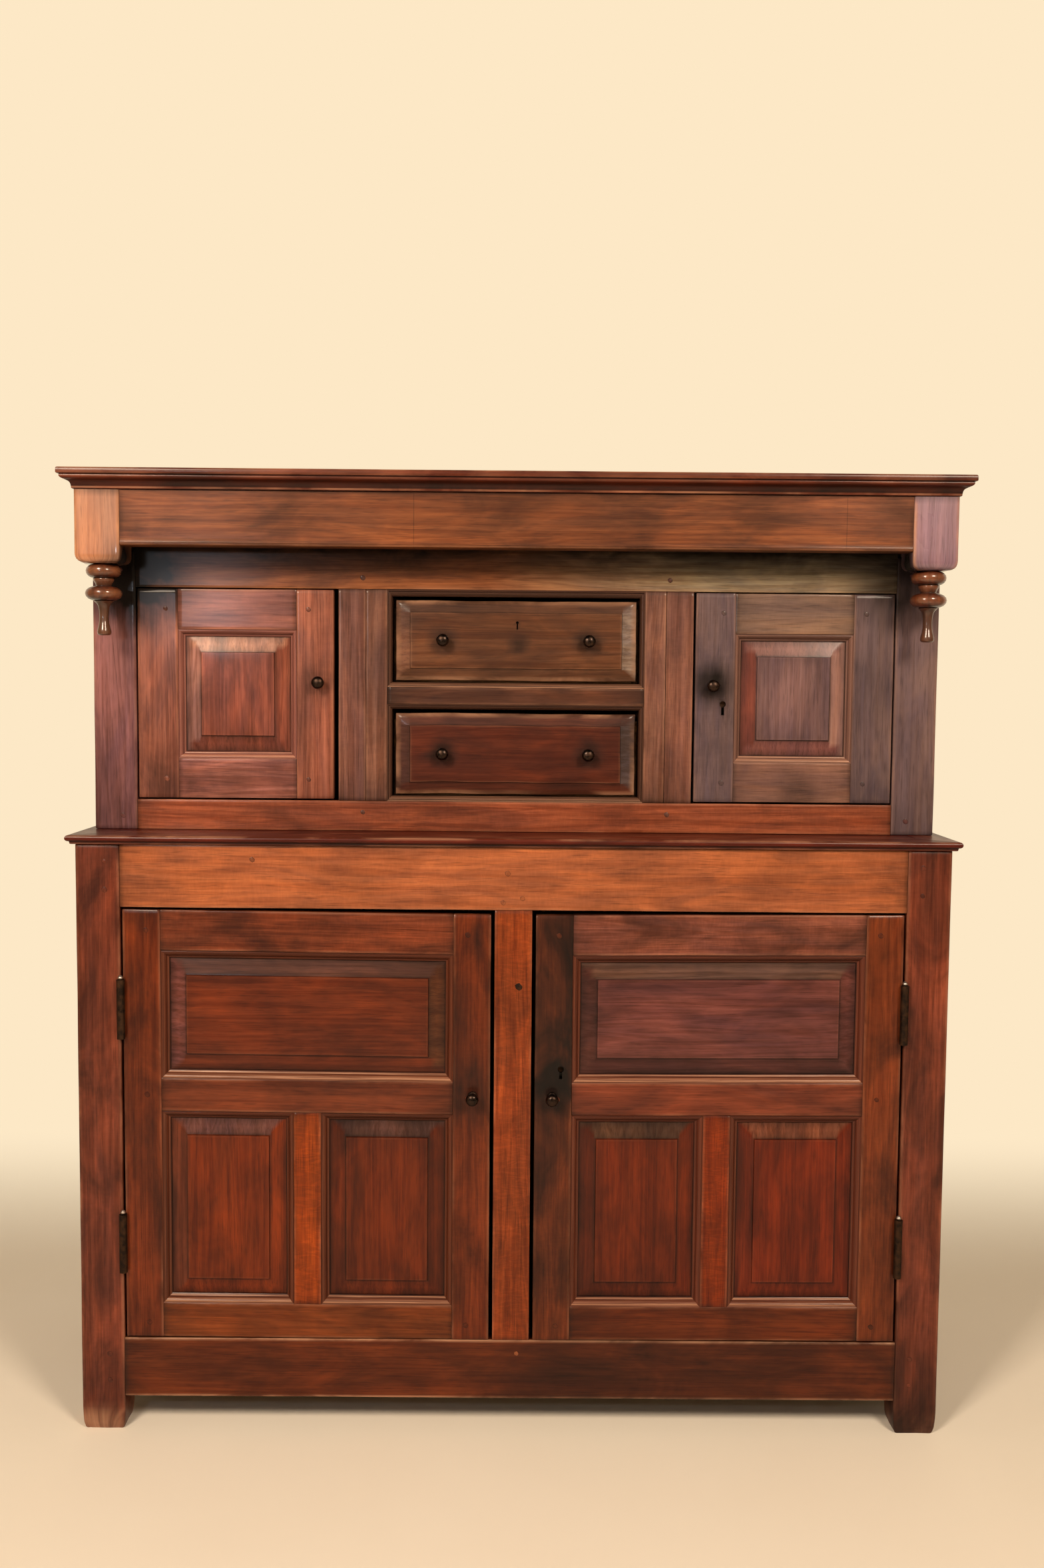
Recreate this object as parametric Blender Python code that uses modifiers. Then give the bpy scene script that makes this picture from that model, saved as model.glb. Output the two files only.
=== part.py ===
"""Joined oak press cupboard in two stages.

Below stands a panelled cupboard with two doors. Above it a set-back case holds two small
doors and two drawers, under an overhanging canopy with two turned pendants.
Metres, +Z up, the front faces -Y. The origin is the middle of the footprint, on the floor.
"""

from math import cos, pi, sin

import bmesh
import bpy
from mathutils import Vector

# Clearances
SEAT_GAP = 0.0003
PIN_CLEAR = 0.0004
BOLT_CLEAR = 0.0004
CUT_OVERRUN = 0.002

# Overall sizes
LOWER_WIDTH = 1.400
UPPER_SET_IN = 0.005
UPPER_WIDTH = LOWER_WIDTH - 2 * UPPER_SET_IN
CASE_DEPTH = 0.520
LOWER_HEIGHT = 0.966
UPPER_HEIGHT = 0.5445
UPPER_RECESS = 0.093

# Frame timbers
POST_WIDTH = 0.070
POST_DEPTH = 0.060
REAR_POST_SIZE = 0.056
RAIL_THICKNESS = 0.030
SIDE_THICKNESS = 0.024
SIDE_SETBACK = 0.002
BACK_THICKNESS = 0.016
ARRIS = 0.0015
TENON_LENGTH = 0.025
TENON_THICKNESS = 0.010
TENON_SHOULDER = 0.012
TENON_ROOT = 0.006

# Lower case
FOOT_HEIGHT = 0.057
LOWER_TOP_RAIL = 0.1015
LOWER_BOTTOM_RAIL = 0.098
LOWER_MUNTIN = 0.060
FLOOR_THICKNESS = 0.016
FLOOR_DROP = 0.006
LEDGE_THICKNESS = 0.0145
LEDGE_PROJECTION = 0.013
LEDGE_FILLET = 0.004

# Lower doors
LOWER_DOOR_THICKNESS = 0.024
LOWER_HINGE_GAP = 0.004
LOWER_FREE_GAP = 0.006
LOWER_TOP_GAP = 0.006
LOWER_BOTTOM_GAP = 0.003
LOWER_STILE = 0.060
LOWER_DOOR_TOP_RAIL = 0.065
LOWER_DOOR_MID_RAIL = 0.053
LOWER_DOOR_BOTTOM_RAIL = 0.056
LOWER_DOOR_MUNTIN = 0.044
LOWER_TALL_PANEL = 0.318
LOWER_MOULDING = 0.013
LOWER_FIELD_BEVEL = 0.027

# Panels in their grooves
MOULDING_DEPTH = 0.008
GROOVE_START = 0.009
GROOVE_WIDTH = 0.0066
GROOVE_DEPTH = 0.008
FIELD_SETBACK = 0.003
FIELD_STEP = 0.002

# Lift-off hinges of the lower doors
HINGE_RADIUS = 0.0065
HINGE_LENGTH = 0.096
HINGE_PIN_RADIUS = 0.0024
HINGE_PIN_TIP = 0.005
HINGE_LEAF = 0.0025
HINGE_LEAF_DEPTH = 0.022
HINGE_INSET = 0.110
HINGE_SIDES = 16

# Upper case
UPPER_BOTTOM_RAIL = 0.050
UPPER_OPENING = 0.349
UPPER_MUNTIN = 0.088
DRAWER_OPENING_WIDTH = 0.408
DRAWER_RAIL = 0.044
TOP_DRAWER_OPENING = 0.141
DRAWER_LIP_TOP = 0.011
DRAWER_LIP_BOTTOM = 0.009
DRAWER_EDGE_MOULDING = 0.008
DRAWER_EDGE_DEPTH = 0.007
WELL_WALL = 0.016
DUST_BOARD = 0.012

# Upper doors on pivot pins
UPPER_DOOR_THICKNESS = 0.022
UPPER_HINGE_GAP = 0.003
UPPER_FREE_GAP = 0.003
UPPER_TOP_GAP = 0.002
UPPER_BOTTOM_GAP = 0.003
UPPER_FRAME = 0.066
UPPER_MOULDING = 0.011
UPPER_FIELD_BEVEL = 0.026
PIVOT_RADIUS = 0.004
PIVOT_LENGTH = 0.010
PIVOT_EDGE = 0.011
PIVOT_SETBACK = 0.007

# Drawers
DRAWER_GAP = 0.002
DRAWER_FRONT = 0.020
DRAWER_BEVEL_SIDE = 0.024
DRAWER_BEVEL_TOP = 0.020
DRAWER_EDGE_SETBACK = 0.007
DRAWER_BACK_CLEAR = 0.031
DRAWER_BOX_WALL = 0.010
DRAWER_BOX_BOTTOM = 0.008
DRAWER_BOX_DROP = 0.018
DRAWER_SIDE_CLEAR = 0.0015

# Knobs
KNOB_RADIUS = 0.0105
KNOB_NECK = 0.005
KNOB_ROSE = 0.0080
KNOB_ROSE_HEIGHT = 0.003
KNOB_HEAD_HEIGHT = 0.016
KNOB_REACH = 0.028
DRAWER_KNOB_REACH = 0.024
SPINDLE_RADIUS = 0.003
SPINDLE_LENGTH = 0.012
KNOB_STEPS = 18

# Places of the knobs, keyholes and lock bolts, from each piece's own edges
LOWER_KNOB_EDGE = 0.028
LOWER_KNOB_HEIGHT = 0.405
UPPER_KNOB_EDGE = 0.029
UPPER_KNOB_HEIGHT = 0.192
DRAWER_KNOB_SPACING = 0.240
LOWER_KEY_EDGE = 0.042
LOWER_KEY_HEIGHT = 0.448
UPPER_KEY_EDGE = 0.047
UPPER_KEY_HEIGHT = 0.162
KEYHOLE_RADIUS = 0.0036
KEYHOLE_SLOT = 0.0036
KEYHOLE_LENGTH = 0.015
BOLT_HEIGHT = 0.014
BOLT_THICKNESS = 0.006
BOLT_SETBACK = 0.001
BOLT_TAIL = 0.006
BOLT_THROW = 0.013

# Canopy
FRIEZE_HEIGHT = 0.0865
FRIEZE_SETBACK = 0.002
FRIEZE_CHAMFER = 0.010
BLOCK_SIZE = 0.071
BLOCK_HEIGHT = 0.114
BLOCK_EASE = 0.004
ARM_THICKNESS = 0.044
CORNICE_COVE_HEIGHT = 0.0195
CORNICE_FILLET_HEIGHT = 0.0115
CORNICE_PROJECTION = 0.021
CORNICE_COVE_LIP = 0.003
CORNICE_LIP_SLOPE = 0.001
CORNICE_INSET = 0.030
COVE_STEPS = 6
TOP_BOARD_THICKNESS = 0.018

# Turned pendant, radii and heights down from the block
PENDANT_STEPS = 20
PENDANT_SINK = 0.004
RING_RADIUS = 0.0295
RING_HEIGHT = 0.013
COVE_RADIUS = 0.0145
UPPER_NECK_HEIGHT = 0.010
BEAD_RADIUS = 0.0185
BEAD_HEIGHT = 0.010
LOWER_NECK_HEIGHT = 0.009
CUP_RADIUS = 0.0155
CUP_HEIGHT = 0.012
STEM_RADIUS = 0.009
STEM_HEIGHT = 0.030
TIP_RADIUS = 0.012
TIP_HEIGHT = 0.012
TIP_FILLET = 0.004

# Side panels
SIDE_RAIL = 0.075
SIDE_PANEL_DEPTH = 0.008
SIDE_PANEL_SLOPE = 0.012

# Planes and levels that the pieces share
FRONT = (KNOB_REACH + SEAT_GAP - CASE_DEPTH) / 2
BACK = FRONT + CASE_DEPTH
UPPER_FRONT = FRONT + UPPER_RECESS
LOWER_HALF = LOWER_WIDTH / 2
UPPER_HALF = UPPER_WIDTH / 2
LEDGE_TOP = LOWER_HEIGHT + LEDGE_THICKNESS
CANOPY_TOP = LEDGE_TOP + UPPER_HEIGHT
FRIEZE_BOTTOM = CANOPY_TOP - FRIEZE_HEIGHT
LOWER_SILL = FOOT_HEIGHT + LOWER_BOTTOM_RAIL
LOWER_HEAD = LOWER_HEIGHT - LOWER_TOP_RAIL
UPPER_SILL = LEDGE_TOP + UPPER_BOTTOM_RAIL
UPPER_HEAD = UPPER_SILL + UPPER_OPENING
DRAWER_SILL = UPPER_SILL + DRAWER_LIP_BOTTOM
DRAWER_HEAD = UPPER_HEAD - DRAWER_LIP_TOP
DRAWER_RAIL_TOP = DRAWER_HEAD - TOP_DRAWER_OPENING
DRAWER_RAIL_BOTTOM = DRAWER_RAIL_TOP - DRAWER_RAIL
DRAWER_HALF = DRAWER_OPENING_WIDTH / 2
UPPER_POST_INNER = UPPER_HALF - POST_WIDTH
LOWER_POST_INNER = LOWER_HALF - POST_WIDTH
MUNTIN_OUTER = DRAWER_HALF + UPPER_MUNTIN
GROOVE_END = GROOVE_START + GROOVE_WIDTH
HINGE_AXIS_X = LOWER_POST_INNER - LOWER_HINGE_GAP / 2
HINGE_AXIS_Y = FRONT - HINGE_RADIUS - SEAT_GAP
PIVOT_X = UPPER_POST_INNER - UPPER_HINGE_GAP - PIVOT_EDGE
PIVOT_Y = UPPER_FRONT + PIVOT_SETBACK

SIDES = {"left": -1, "right": 1}

# Colours, roughness and metallic value of the finishes
DARK_OAK = ("#4a2e1c", 0.45, 0.0)
WARM_OAK = ("#7a4a28", 0.42, 0.0)
PANEL_OAK = ("#6a3f24", 0.40, 0.0)
RAW_OAK = ("#8a6a48", 0.70, 0.0)
DARK_IRON = ("#2b2725", 0.45, 1.0)


def clear_scene():
    for item in list(bpy.data.objects):
        bpy.data.objects.remove(item)


def new_collection(name):
    group = bpy.data.collections.new(name)
    bpy.context.scene.collection.children.link(group)
    return group


clear_scene()
PARTS = new_collection("buffet")
CUTTERS = new_collection("buffet_cutters")


def linear(hex_colour):
    """Linear RGBA of an sRGB hex colour."""
    channels = [int(hex_colour[i:i + 2], 16) / 255 for i in (1, 3, 5)]
    curve = [c / 12.92 if c <= 0.04045 else ((c + 0.055) / 1.055) ** 2.4 for c in channels]
    return (*curve, 1.0)


def span(first, second):
    return (min(first, second), max(first, second))


def grow(pair, amount):
    return (pair[0] - amount, pair[1] + amount)


def middle(centre, size):
    return (centre - size / 2, centre + size / 2)


def ring_x(x, y, z):
    return [Vector((x, y[i], z[j])) for i, j in ((0, 0), (1, 0), (1, 1), (0, 1))]


def ring_y(y, x, z):
    return [Vector((x[i], y, z[j])) for i, j in ((0, 0), (1, 0), (1, 1), (0, 1))]


def ring_z(z, x, y):
    return [Vector((x[i], y[j], z)) for i, j in ((0, 0), (1, 0), (1, 1), (0, 1))]


def place(name, bm, finish=None):
    """Object whose origin is the middle of its mesh; a cutter when it has no finish."""
    points = [v.co for v in bm.verts]
    low = Vector([min(p[i] for p in points) for i in range(3)])
    high = Vector([max(p[i] for p in points) for i in range(3)])
    origin = (low + high) / 2
    bmesh.ops.translate(bm, verts=bm.verts, vec=-origin)
    mesh = bpy.data.meshes.new(name)
    bm.to_mesh(mesh)
    bm.free()
    item = bpy.data.objects.new(name, mesh)
    item.location = origin
    file_under(item, finish)
    return item


def file_under(item, finish):
    if finish is None:
        CUTTERS.objects.link(item)
        item.hide_render = True
        item.display_type = "WIRE"
        return
    PARTS.objects.link(item)
    colour, roughness, metallic = finish
    material = bpy.data.materials.new(item.name + "_finish")
    material.use_nodes = True
    shader = material.node_tree.nodes["Principled BSDF"]
    shader.inputs["Base Color"].default_value = linear(colour)
    shader.inputs["Roughness"].default_value = roughness
    shader.inputs["Metallic"].default_value = metallic
    item.data.materials.append(material)


def block(name, x, y, z, finish=None, ease=0.0):
    """Rectangular timber between the given X, Y and Z pairs."""
    bm = bmesh.new()
    bmesh.ops.create_cube(bm, size=1.0)
    bmesh.ops.scale(bm, verts=bm.verts, vec=(x[1] - x[0], y[1] - y[0], z[1] - z[0]))
    centre = (sum(x) / 2, sum(y) / 2, sum(z) / 2)
    bmesh.ops.translate(bm, verts=bm.verts, vec=centre)
    item = place(name, bm, finish)
    if ease:
        soften(item, ease)
    return item


def rod(name, radius, x, y, z, sides=HINGE_SIDES, finish=None):
    """Upright round bar."""
    bm = bmesh.new()
    bmesh.ops.create_cone(bm, cap_ends=True, segments=sides, radius1=radius, radius2=radius,
                          depth=z[1] - z[0])
    bmesh.ops.translate(bm, verts=bm.verts, vec=(x, y, sum(z) / 2))
    item = place(name, bm, finish)
    item.data.shade_smooth()
    item.data.set_sharp_from_angle(angle=pi / 6)
    return item


def bore_y(name, radius, x, y, z, sides=HINGE_SIDES):
    """Round cutter that runs along Y."""
    length = y[1] - y[0]
    cutter = rod(name, radius, 0, 0, (-length / 2, length / 2), sides)
    cutter.rotation_euler = (pi / 2, 0, 0)
    cutter.location = (x, sum(y) / 2, z)
    return cutter


def loft(name, rings, finish=None):
    """Closed solid through a row of matching rings."""
    bm = bmesh.new()
    rows = [[bm.verts.new(point) for point in ring] for ring in rings]
    count = len(rings[0])
    for near, far in zip(rows, rows[1:]):
        for i in range(count):
            j = (i + 1) % count
            bm.faces.new((near[i], near[j], far[j], far[i]))
    bm.faces.new(rows[0])
    bm.faces.new(rows[-1])
    bmesh.ops.recalc_face_normals(bm, faces=bm.faces)
    return place(name, bm, finish)


def turned(name, profile, steps, finish=None):
    """Turned shape from (radius, height) points that run from the top down."""
    mesh = bpy.data.meshes.new(name)
    edges = [(i, i + 1) for i in range(len(profile) - 1)]
    mesh.from_pydata([(radius, 0, height) for radius, height in profile], edges, [])
    item = bpy.data.objects.new(name, mesh)
    screw = item.modifiers.new("turn", "SCREW")
    screw.steps = steps
    screw.render_steps = steps
    screw.use_merge_vertices = True
    screw.merge_threshold = 0.00001
    file_under(item, finish)
    return item


def soften(item, width):
    bevel = item.modifiers.new("arris", "BEVEL")
    bevel.width = width
    bevel.segments = 1


def boolean(item, tool, operation):
    step = item.modifiers.new(tool.name, "BOOLEAN")
    step.operation = operation
    step.object = tool


def cut(item, tool):
    boolean(item, tool, "DIFFERENCE")


def join(item, tool):
    boolean(item, tool, "UNION")


def tenon(rail, post, x, y, z):
    """Tongue on the rail and the mortise that takes it in the post."""
    name = rail.name + "_to_" + post.name
    join(rail, block(name + "_tenon", x, y, z))
    cut(post, block(name + "_mortise", *(grow(pair, SEAT_GAP) for pair in (x, y, z))))


def tenon_y(front):
    return middle(front + RAIL_THICKNESS / 2, TENON_THICKNESS)


def rail_tenon(rail, post, front, edge, side, z):
    """Tenon of a level rail that meets an upright at the plane X = side * edge."""
    x = span(side * (edge - TENON_ROOT), side * (edge + TENON_LENGTH))
    tenon(rail, post, x, tenon_y(front), grow(z, -TENON_SHOULDER))


def muntin_tenon(muntin, rail, front, x, level, way):
    """Tenon of an upright muntin that meets a rail at a level, above (1) or below (-1)."""
    z = span(level - way * TENON_ROOT, level + way * TENON_LENGTH)
    tenon(muntin, rail, grow(x, -TENON_SHOULDER), tenon_y(front), z)


def pivot_empty(name, x, y, z):
    empty = bpy.data.objects.new(name, None)
    empty.location = (x, y, z)
    PARTS.objects.link(empty)
    return empty


def hang(item, empty):
    """Let a piece move with the empty on its joint's axis."""
    item.parent = empty
    item.location -= empty.location


def half_round(radius, core, top, height, steps=6):
    """Profile points of a turned ring that bulges from the core radius."""
    angles = [pi * i / steps for i in range(steps + 1)]
    return [(core + (radius - core) * sin(a), top - height * (1 - cos(a)) / 2) for a in angles]


def knob(name, x, face, z, reach, carrier, empty):
    """Turned knob with a spindle in the front of the piece that carries it."""
    base = [(KNOB_NECK, KNOB_ROSE_HEIGHT), (KNOB_ROSE, KNOB_ROSE_HEIGHT), (KNOB_ROSE, 0)]
    spindle = [(SPINDLE_RADIUS, 0), (SPINDLE_RADIUS, -SPINDLE_LENGTH), (0, -SPINDLE_LENGTH)]
    head = half_round(KNOB_RADIUS, 0, reach, KNOB_HEAD_HEIGHT, 8)
    kept = [(r, h) for r, h in head if r > KNOB_NECK or h > reach - KNOB_HEAD_HEIGHT / 2]
    neck = [(KNOB_NECK, reach - KNOB_HEAD_HEIGHT)]
    item = turned(name, kept + neck + base + spindle, KNOB_STEPS, DARK_IRON)
    item.rotation_euler = (pi / 2, 0, 0)
    item.location = (x, face - SEAT_GAP, z)
    hole = (face - CUT_OVERRUN, face + SPINDLE_LENGTH)
    cut(carrier, bore_y(name + "_hole", SPINDLE_RADIUS + SEAT_GAP, x, hole, z))
    hang(item, empty)


def panel_opening(name, frame, x, z, front, thickness, moulding):
    """Cut a moulded and grooved opening for a panel in a door frame."""
    flare = moulding * (1 + CUT_OVERRUN / MOULDING_DEPTH)
    steps = [(-CUT_OVERRUN, flare), (MOULDING_DEPTH, 0), (GROOVE_START, 0),
             (GROOVE_START, GROOVE_DEPTH), (GROOVE_END, GROOVE_DEPTH), (GROOVE_END, 0),
             (thickness + CUT_OVERRUN, 0)]
    rings = [ring_y(front + depth, grow(x, out), grow(z, out)) for depth, out in steps]
    cut(frame, loft(name + "_opening", rings))


def fielded_panel(name, x, z, front, bevel):
    """Raised and fielded panel whose edge floats in the frame's groove."""
    tongue = GROOVE_DEPTH - SEAT_GAP
    seat = GROOVE_START + SEAT_GAP
    steps = [(FIELD_SETBACK, -bevel), (FIELD_SETBACK + FIELD_STEP, -bevel), (seat, -SEAT_GAP),
             (seat, tongue), (GROOVE_END - SEAT_GAP, tongue)]
    rings = [ring_y(front + depth, grow(x, out), grow(z, out)) for depth, out in steps]
    return loft(name, rings, PANEL_OAK)


def lock_bolt(name, frame, keeper, side, edge, keeper_edge, key_edge, front, thickness, z, empty):
    """Iron lock bolt in a mortise of the door's free stile, with its keyhole and its keeper."""
    centre = front + thickness / 2
    near = edge + BOLT_SETBACK
    far = edge + key_edge + BOLT_TAIL
    y = middle(centre, BOLT_THICKNESS)
    z_pair = middle(z, BOLT_HEIGHT)
    bolt = block(name, span(side * near, side * far), y, z_pair, DARK_IRON, ARRIS)
    wide_y = grow(y, BOLT_CLEAR)
    wide_z = grow(z_pair, BOLT_CLEAR)
    inside = span(side * (edge - CUT_OVERRUN), side * (far + BOLT_CLEAR))
    cut(frame, block(name + "_mortise", inside, wide_y, wide_z))
    reach = near - BOLT_THROW - BOLT_CLEAR
    cut(keeper, block(name + "_keeper", span(side * reach, side * (keeper_edge + CUT_OVERRUN)),
                      wide_y, wide_z))
    key_x = side * (edge + key_edge)
    depth = (front - CUT_OVERRUN, centre)
    cut(frame, bore_y(name + "_keyhole", KEYHOLE_RADIUS, key_x, depth, z))
    cut(frame, block(name + "_keyslot", middle(key_x, KEYHOLE_SLOT), depth,
                     (z - KEYHOLE_LENGTH, z)))
    hang(bolt, empty)


def lower_frame():
    """Front posts, rails and centre muntin of the lower case."""
    top = LOWER_HEIGHT - SEAT_GAP
    rail_x = (SEAT_GAP - LOWER_POST_INNER, LOWER_POST_INNER - SEAT_GAP)
    rail_y = (FRONT, FRONT + RAIL_THICKNESS)
    rail_spans = {"top": (LOWER_HEAD, top), "bottom": (FOOT_HEIGHT, LOWER_SILL)}
    rails = {level: block(f"lower_{level}_rail", rail_x, rail_y, z, WARM_OAK)
             for level, z in rail_spans.items()}
    muntin_x = middle(0, LOWER_MUNTIN)
    muntin = block("lower_muntin", muntin_x, rail_y,
                   (LOWER_SILL + SEAT_GAP, LOWER_HEAD - SEAT_GAP), WARM_OAK)
    muntin_tenon(muntin, rails["top"], FRONT, muntin_x, LOWER_HEAD, 1)
    muntin_tenon(muntin, rails["bottom"], FRONT, muntin_x, LOWER_SILL, -1)
    for name, side in SIDES.items():
        x = span(side * LOWER_POST_INNER, side * LOWER_HALF)
        post = block(f"lower_post_{name}", x, (FRONT, FRONT + POST_DEPTH), (0, top), DARK_OAK, ARRIS)
        for level, rail in rails.items():
            rail_tenon(rail, post, FRONT, LOWER_POST_INNER, side, rail_spans[level])
    return muntin


def side_recess(name, side, half, y, z):
    """Sunk panel in the outer face of a side frame."""
    face = half - SIDE_SETBACK
    steps = [(CUT_OVERRUN, SIDE_PANEL_SLOPE * (1 + CUT_OVERRUN / SIDE_PANEL_DEPTH)),
             (-SIDE_PANEL_DEPTH, 0)]
    rings = [ring_x(side * (face + out), grow(y, slope), grow(z, slope)) for out, slope in steps]
    return loft(name, rings)


def side_frame(name, side, half, y_front, z, foot, finish):
    """Panelled side between the front post and the back, in one piece with its rear post."""
    board_x = span(side * (half - SIDE_SETBACK - SIDE_THICKNESS), side * (half - SIDE_SETBACK))
    frame = block(name, board_x, (y_front, BACK - REAR_POST_SIZE / 2), z, finish)
    post_x = span(side * (half - REAR_POST_SIZE), side * half)
    join(frame, block(name + "_rear_post", post_x, (BACK - REAR_POST_SIZE, BACK), (foot, z[1])))
    return frame


def lower_sides():
    for name, side in SIDES.items():
        z = (FOOT_HEIGHT, LOWER_HEIGHT - SEAT_GAP)
        y_front = FRONT + POST_DEPTH + SEAT_GAP
        frame = side_frame(f"lower_side_{name}", side, LOWER_HALF, y_front, z, 0, DARK_OAK)
        inset = SIDE_RAIL + SIDE_PANEL_SLOPE
        panel_y = (y_front + inset, BACK - REAR_POST_SIZE - SIDE_PANEL_SLOPE)
        mid = LOWER_SILL + LOWER_BOTTOM_GAP + LOWER_DOOR_BOTTOM_RAIL + LOWER_TALL_PANEL
        panels = {"low": (LOWER_SILL + SIDE_PANEL_SLOPE, mid - SIDE_PANEL_SLOPE),
                  "high": (mid + LOWER_DOOR_MID_RAIL + SIDE_PANEL_SLOPE, LOWER_HEAD - SIDE_PANEL_SLOPE)}
        for level, panel_z in panels.items():
            cut(frame, side_recess(f"lower_side_{name}_{level}", side, LOWER_HALF, panel_y, panel_z))


def back_boards(name, half, z):
    x = grow((-half + REAR_POST_SIZE, half - REAR_POST_SIZE), -SEAT_GAP)
    block(name, x, (BACK - BACK_THICKNESS, BACK), z, RAW_OAK)


def lower_inside():
    """Back boards and floor board, notched round the four posts."""
    back_boards("lower_back", LOWER_HALF, (FOOT_HEIGHT, LOWER_HEIGHT - SEAT_GAP))
    half = LOWER_HALF - SIDE_SETBACK - SIDE_THICKNESS - SEAT_GAP
    top = LOWER_SILL - FLOOR_DROP
    y = (FRONT + RAIL_THICKNESS + SEAT_GAP, BACK - BACK_THICKNESS - SEAT_GAP)
    floor = block("lower_floor", (-half, half), y, (top - FLOOR_THICKNESS, top), RAW_OAK)
    notch_z = grow((top - FLOOR_THICKNESS, top), CUT_OVERRUN)
    front_y = (y[0] - CUT_OVERRUN, FRONT + POST_DEPTH + SEAT_GAP)
    rear_y = (BACK - REAR_POST_SIZE - SEAT_GAP, BACK)
    for name, side in SIDES.items():
        front_x = span(side * (LOWER_POST_INNER - SEAT_GAP), side * LOWER_HALF)
        rear_x = span(side * (LOWER_HALF - REAR_POST_SIZE - SEAT_GAP), side * LOWER_HALF)
        cut(floor, block(f"floor_notch_front_{name}", front_x, front_y, notch_z))
        cut(floor, block(f"floor_notch_rear_{name}", rear_x, rear_y, notch_z))


def moulded_board(name, half, levels, finish):
    """Board whose front and side edges follow (height, projection) levels."""
    rings = [ring_z(z, (-half - out, half + out), (FRONT - out, BACK)) for z, out in levels]
    return loft(name, rings, finish)


def waist_ledge():
    """Thin moulded board that tops the lower case and floors the upper one."""
    levels = [(LOWER_HEIGHT, LEDGE_PROJECTION - LEDGE_FILLET),
              (LOWER_HEIGHT + LEDGE_FILLET, LEDGE_PROJECTION),
              (LEDGE_TOP - LEDGE_FILLET, LEDGE_PROJECTION),
              (LEDGE_TOP, LEDGE_PROJECTION - LEDGE_FILLET)]
    moulded_board("waist_ledge", LOWER_HALF, levels, WARM_OAK)


def lower_panel_places(x, z, side):
    """Sight sizes of the wide panel and the two tall panels of a lower door."""
    flat = LOWER_MOULDING
    across = grow(x, -LOWER_STILE - flat)
    tall_low = z[0] + LOWER_DOOR_BOTTOM_RAIL
    tall_high = tall_low + LOWER_TALL_PANEL
    wide = (tall_high + LOWER_DOOR_MID_RAIL + flat, z[1] - LOWER_DOOR_TOP_RAIL - flat)
    tall = (tall_low + flat, tall_high - flat)
    centre = sum(across) / 2
    half = LOWER_DOOR_MUNTIN / 2 + flat
    left = (across[0], centre - half)
    right = (centre + half, across[1])
    outer, inner = (left, right) if side < 0 else (right, left)
    return {"wide": (across, wide), "outer": (outer, tall), "inner": (inner, tall)}


def lift_off_hinge(name, side, z_low, empty):
    """Post leaf with its pin, and the door leaf whose barrel turns on that pin."""
    x = side * HINGE_AXIS_X
    half = z_low + HINGE_LENGTH / 2
    top = z_low + HINGE_LENGTH
    leaf_y = (HINGE_AXIS_Y, FRONT + HINGE_LEAF_DEPTH)
    post_edge = side * (LOWER_POST_INNER - SEAT_GAP)
    door_edge = side * (LOWER_POST_INNER - LOWER_HINGE_GAP + SEAT_GAP)
    post_z = (z_low, half - SEAT_GAP)
    door_z = (half, top)
    post_leaf = rod(f"{name}_post_leaf", HINGE_RADIUS, x, HINGE_AXIS_Y, post_z, finish=DARK_IRON)
    join(post_leaf, block(f"{name}_post_plate", span(post_edge, post_edge - side * HINGE_LEAF),
                          leaf_y, grow(post_z, -SEAT_GAP)))
    join(post_leaf, rod(f"{name}_pin", HINGE_PIN_RADIUS, x, HINGE_AXIS_Y,
                        (half - HINGE_RADIUS, top + HINGE_PIN_TIP)))
    door_leaf = rod(f"{name}_door_leaf", HINGE_RADIUS, x, HINGE_AXIS_Y, door_z, finish=DARK_IRON)
    join(door_leaf, block(f"{name}_door_plate", span(door_edge, door_edge + side * HINGE_LEAF),
                          leaf_y, grow(door_z, -SEAT_GAP)))
    cut(door_leaf, rod(f"{name}_bore", HINGE_PIN_RADIUS + PIN_CLEAR, x, HINGE_AXIS_Y,
                       grow(door_z, CUT_OVERRUN)))
    hang(door_leaf, empty)


def lower_door(name, side, muntin):
    edge = LOWER_MUNTIN / 2 + LOWER_FREE_GAP
    outer = LOWER_POST_INNER - LOWER_HINGE_GAP
    x = span(side * edge, side * outer)
    z = (LOWER_SILL + LOWER_BOTTOM_GAP, LOWER_HEAD - LOWER_TOP_GAP)
    empty = pivot_empty(f"lower_door_{name}_axis", side * HINGE_AXIS_X, HINGE_AXIS_Y, z[0])
    frame = block(f"lower_door_{name}_frame", x, (FRONT, FRONT + LOWER_DOOR_THICKNESS), z, WARM_OAK)
    for place_name, (panel_x, panel_z) in lower_panel_places(x, z, side).items():
        label = f"lower_door_{name}_{place_name}_panel"
        panel_opening(label, frame, panel_x, panel_z, FRONT, LOWER_DOOR_THICKNESS, LOWER_MOULDING)
        hang(fielded_panel(label, panel_x, panel_z, FRONT, LOWER_FIELD_BEVEL), empty)
    knob(f"lower_door_{name}_knob", side * (edge + LOWER_KNOB_EDGE), FRONT,
         z[0] + LOWER_KNOB_HEIGHT, KNOB_REACH, frame, empty)
    lift_off_hinge(f"hinge_{name}_low", side, z[0] + HINGE_INSET, empty)
    lift_off_hinge(f"hinge_{name}_high", side, z[1] - HINGE_INSET - HINGE_LENGTH, empty)
    if side > 0:
        lock_bolt("lower_lock_bolt", frame, muntin, side, edge, LOWER_MUNTIN / 2, LOWER_KEY_EDGE,
                  FRONT, LOWER_DOOR_THICKNESS, z[0] + LOWER_KEY_HEIGHT, empty)
    hang(frame, empty)


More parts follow.
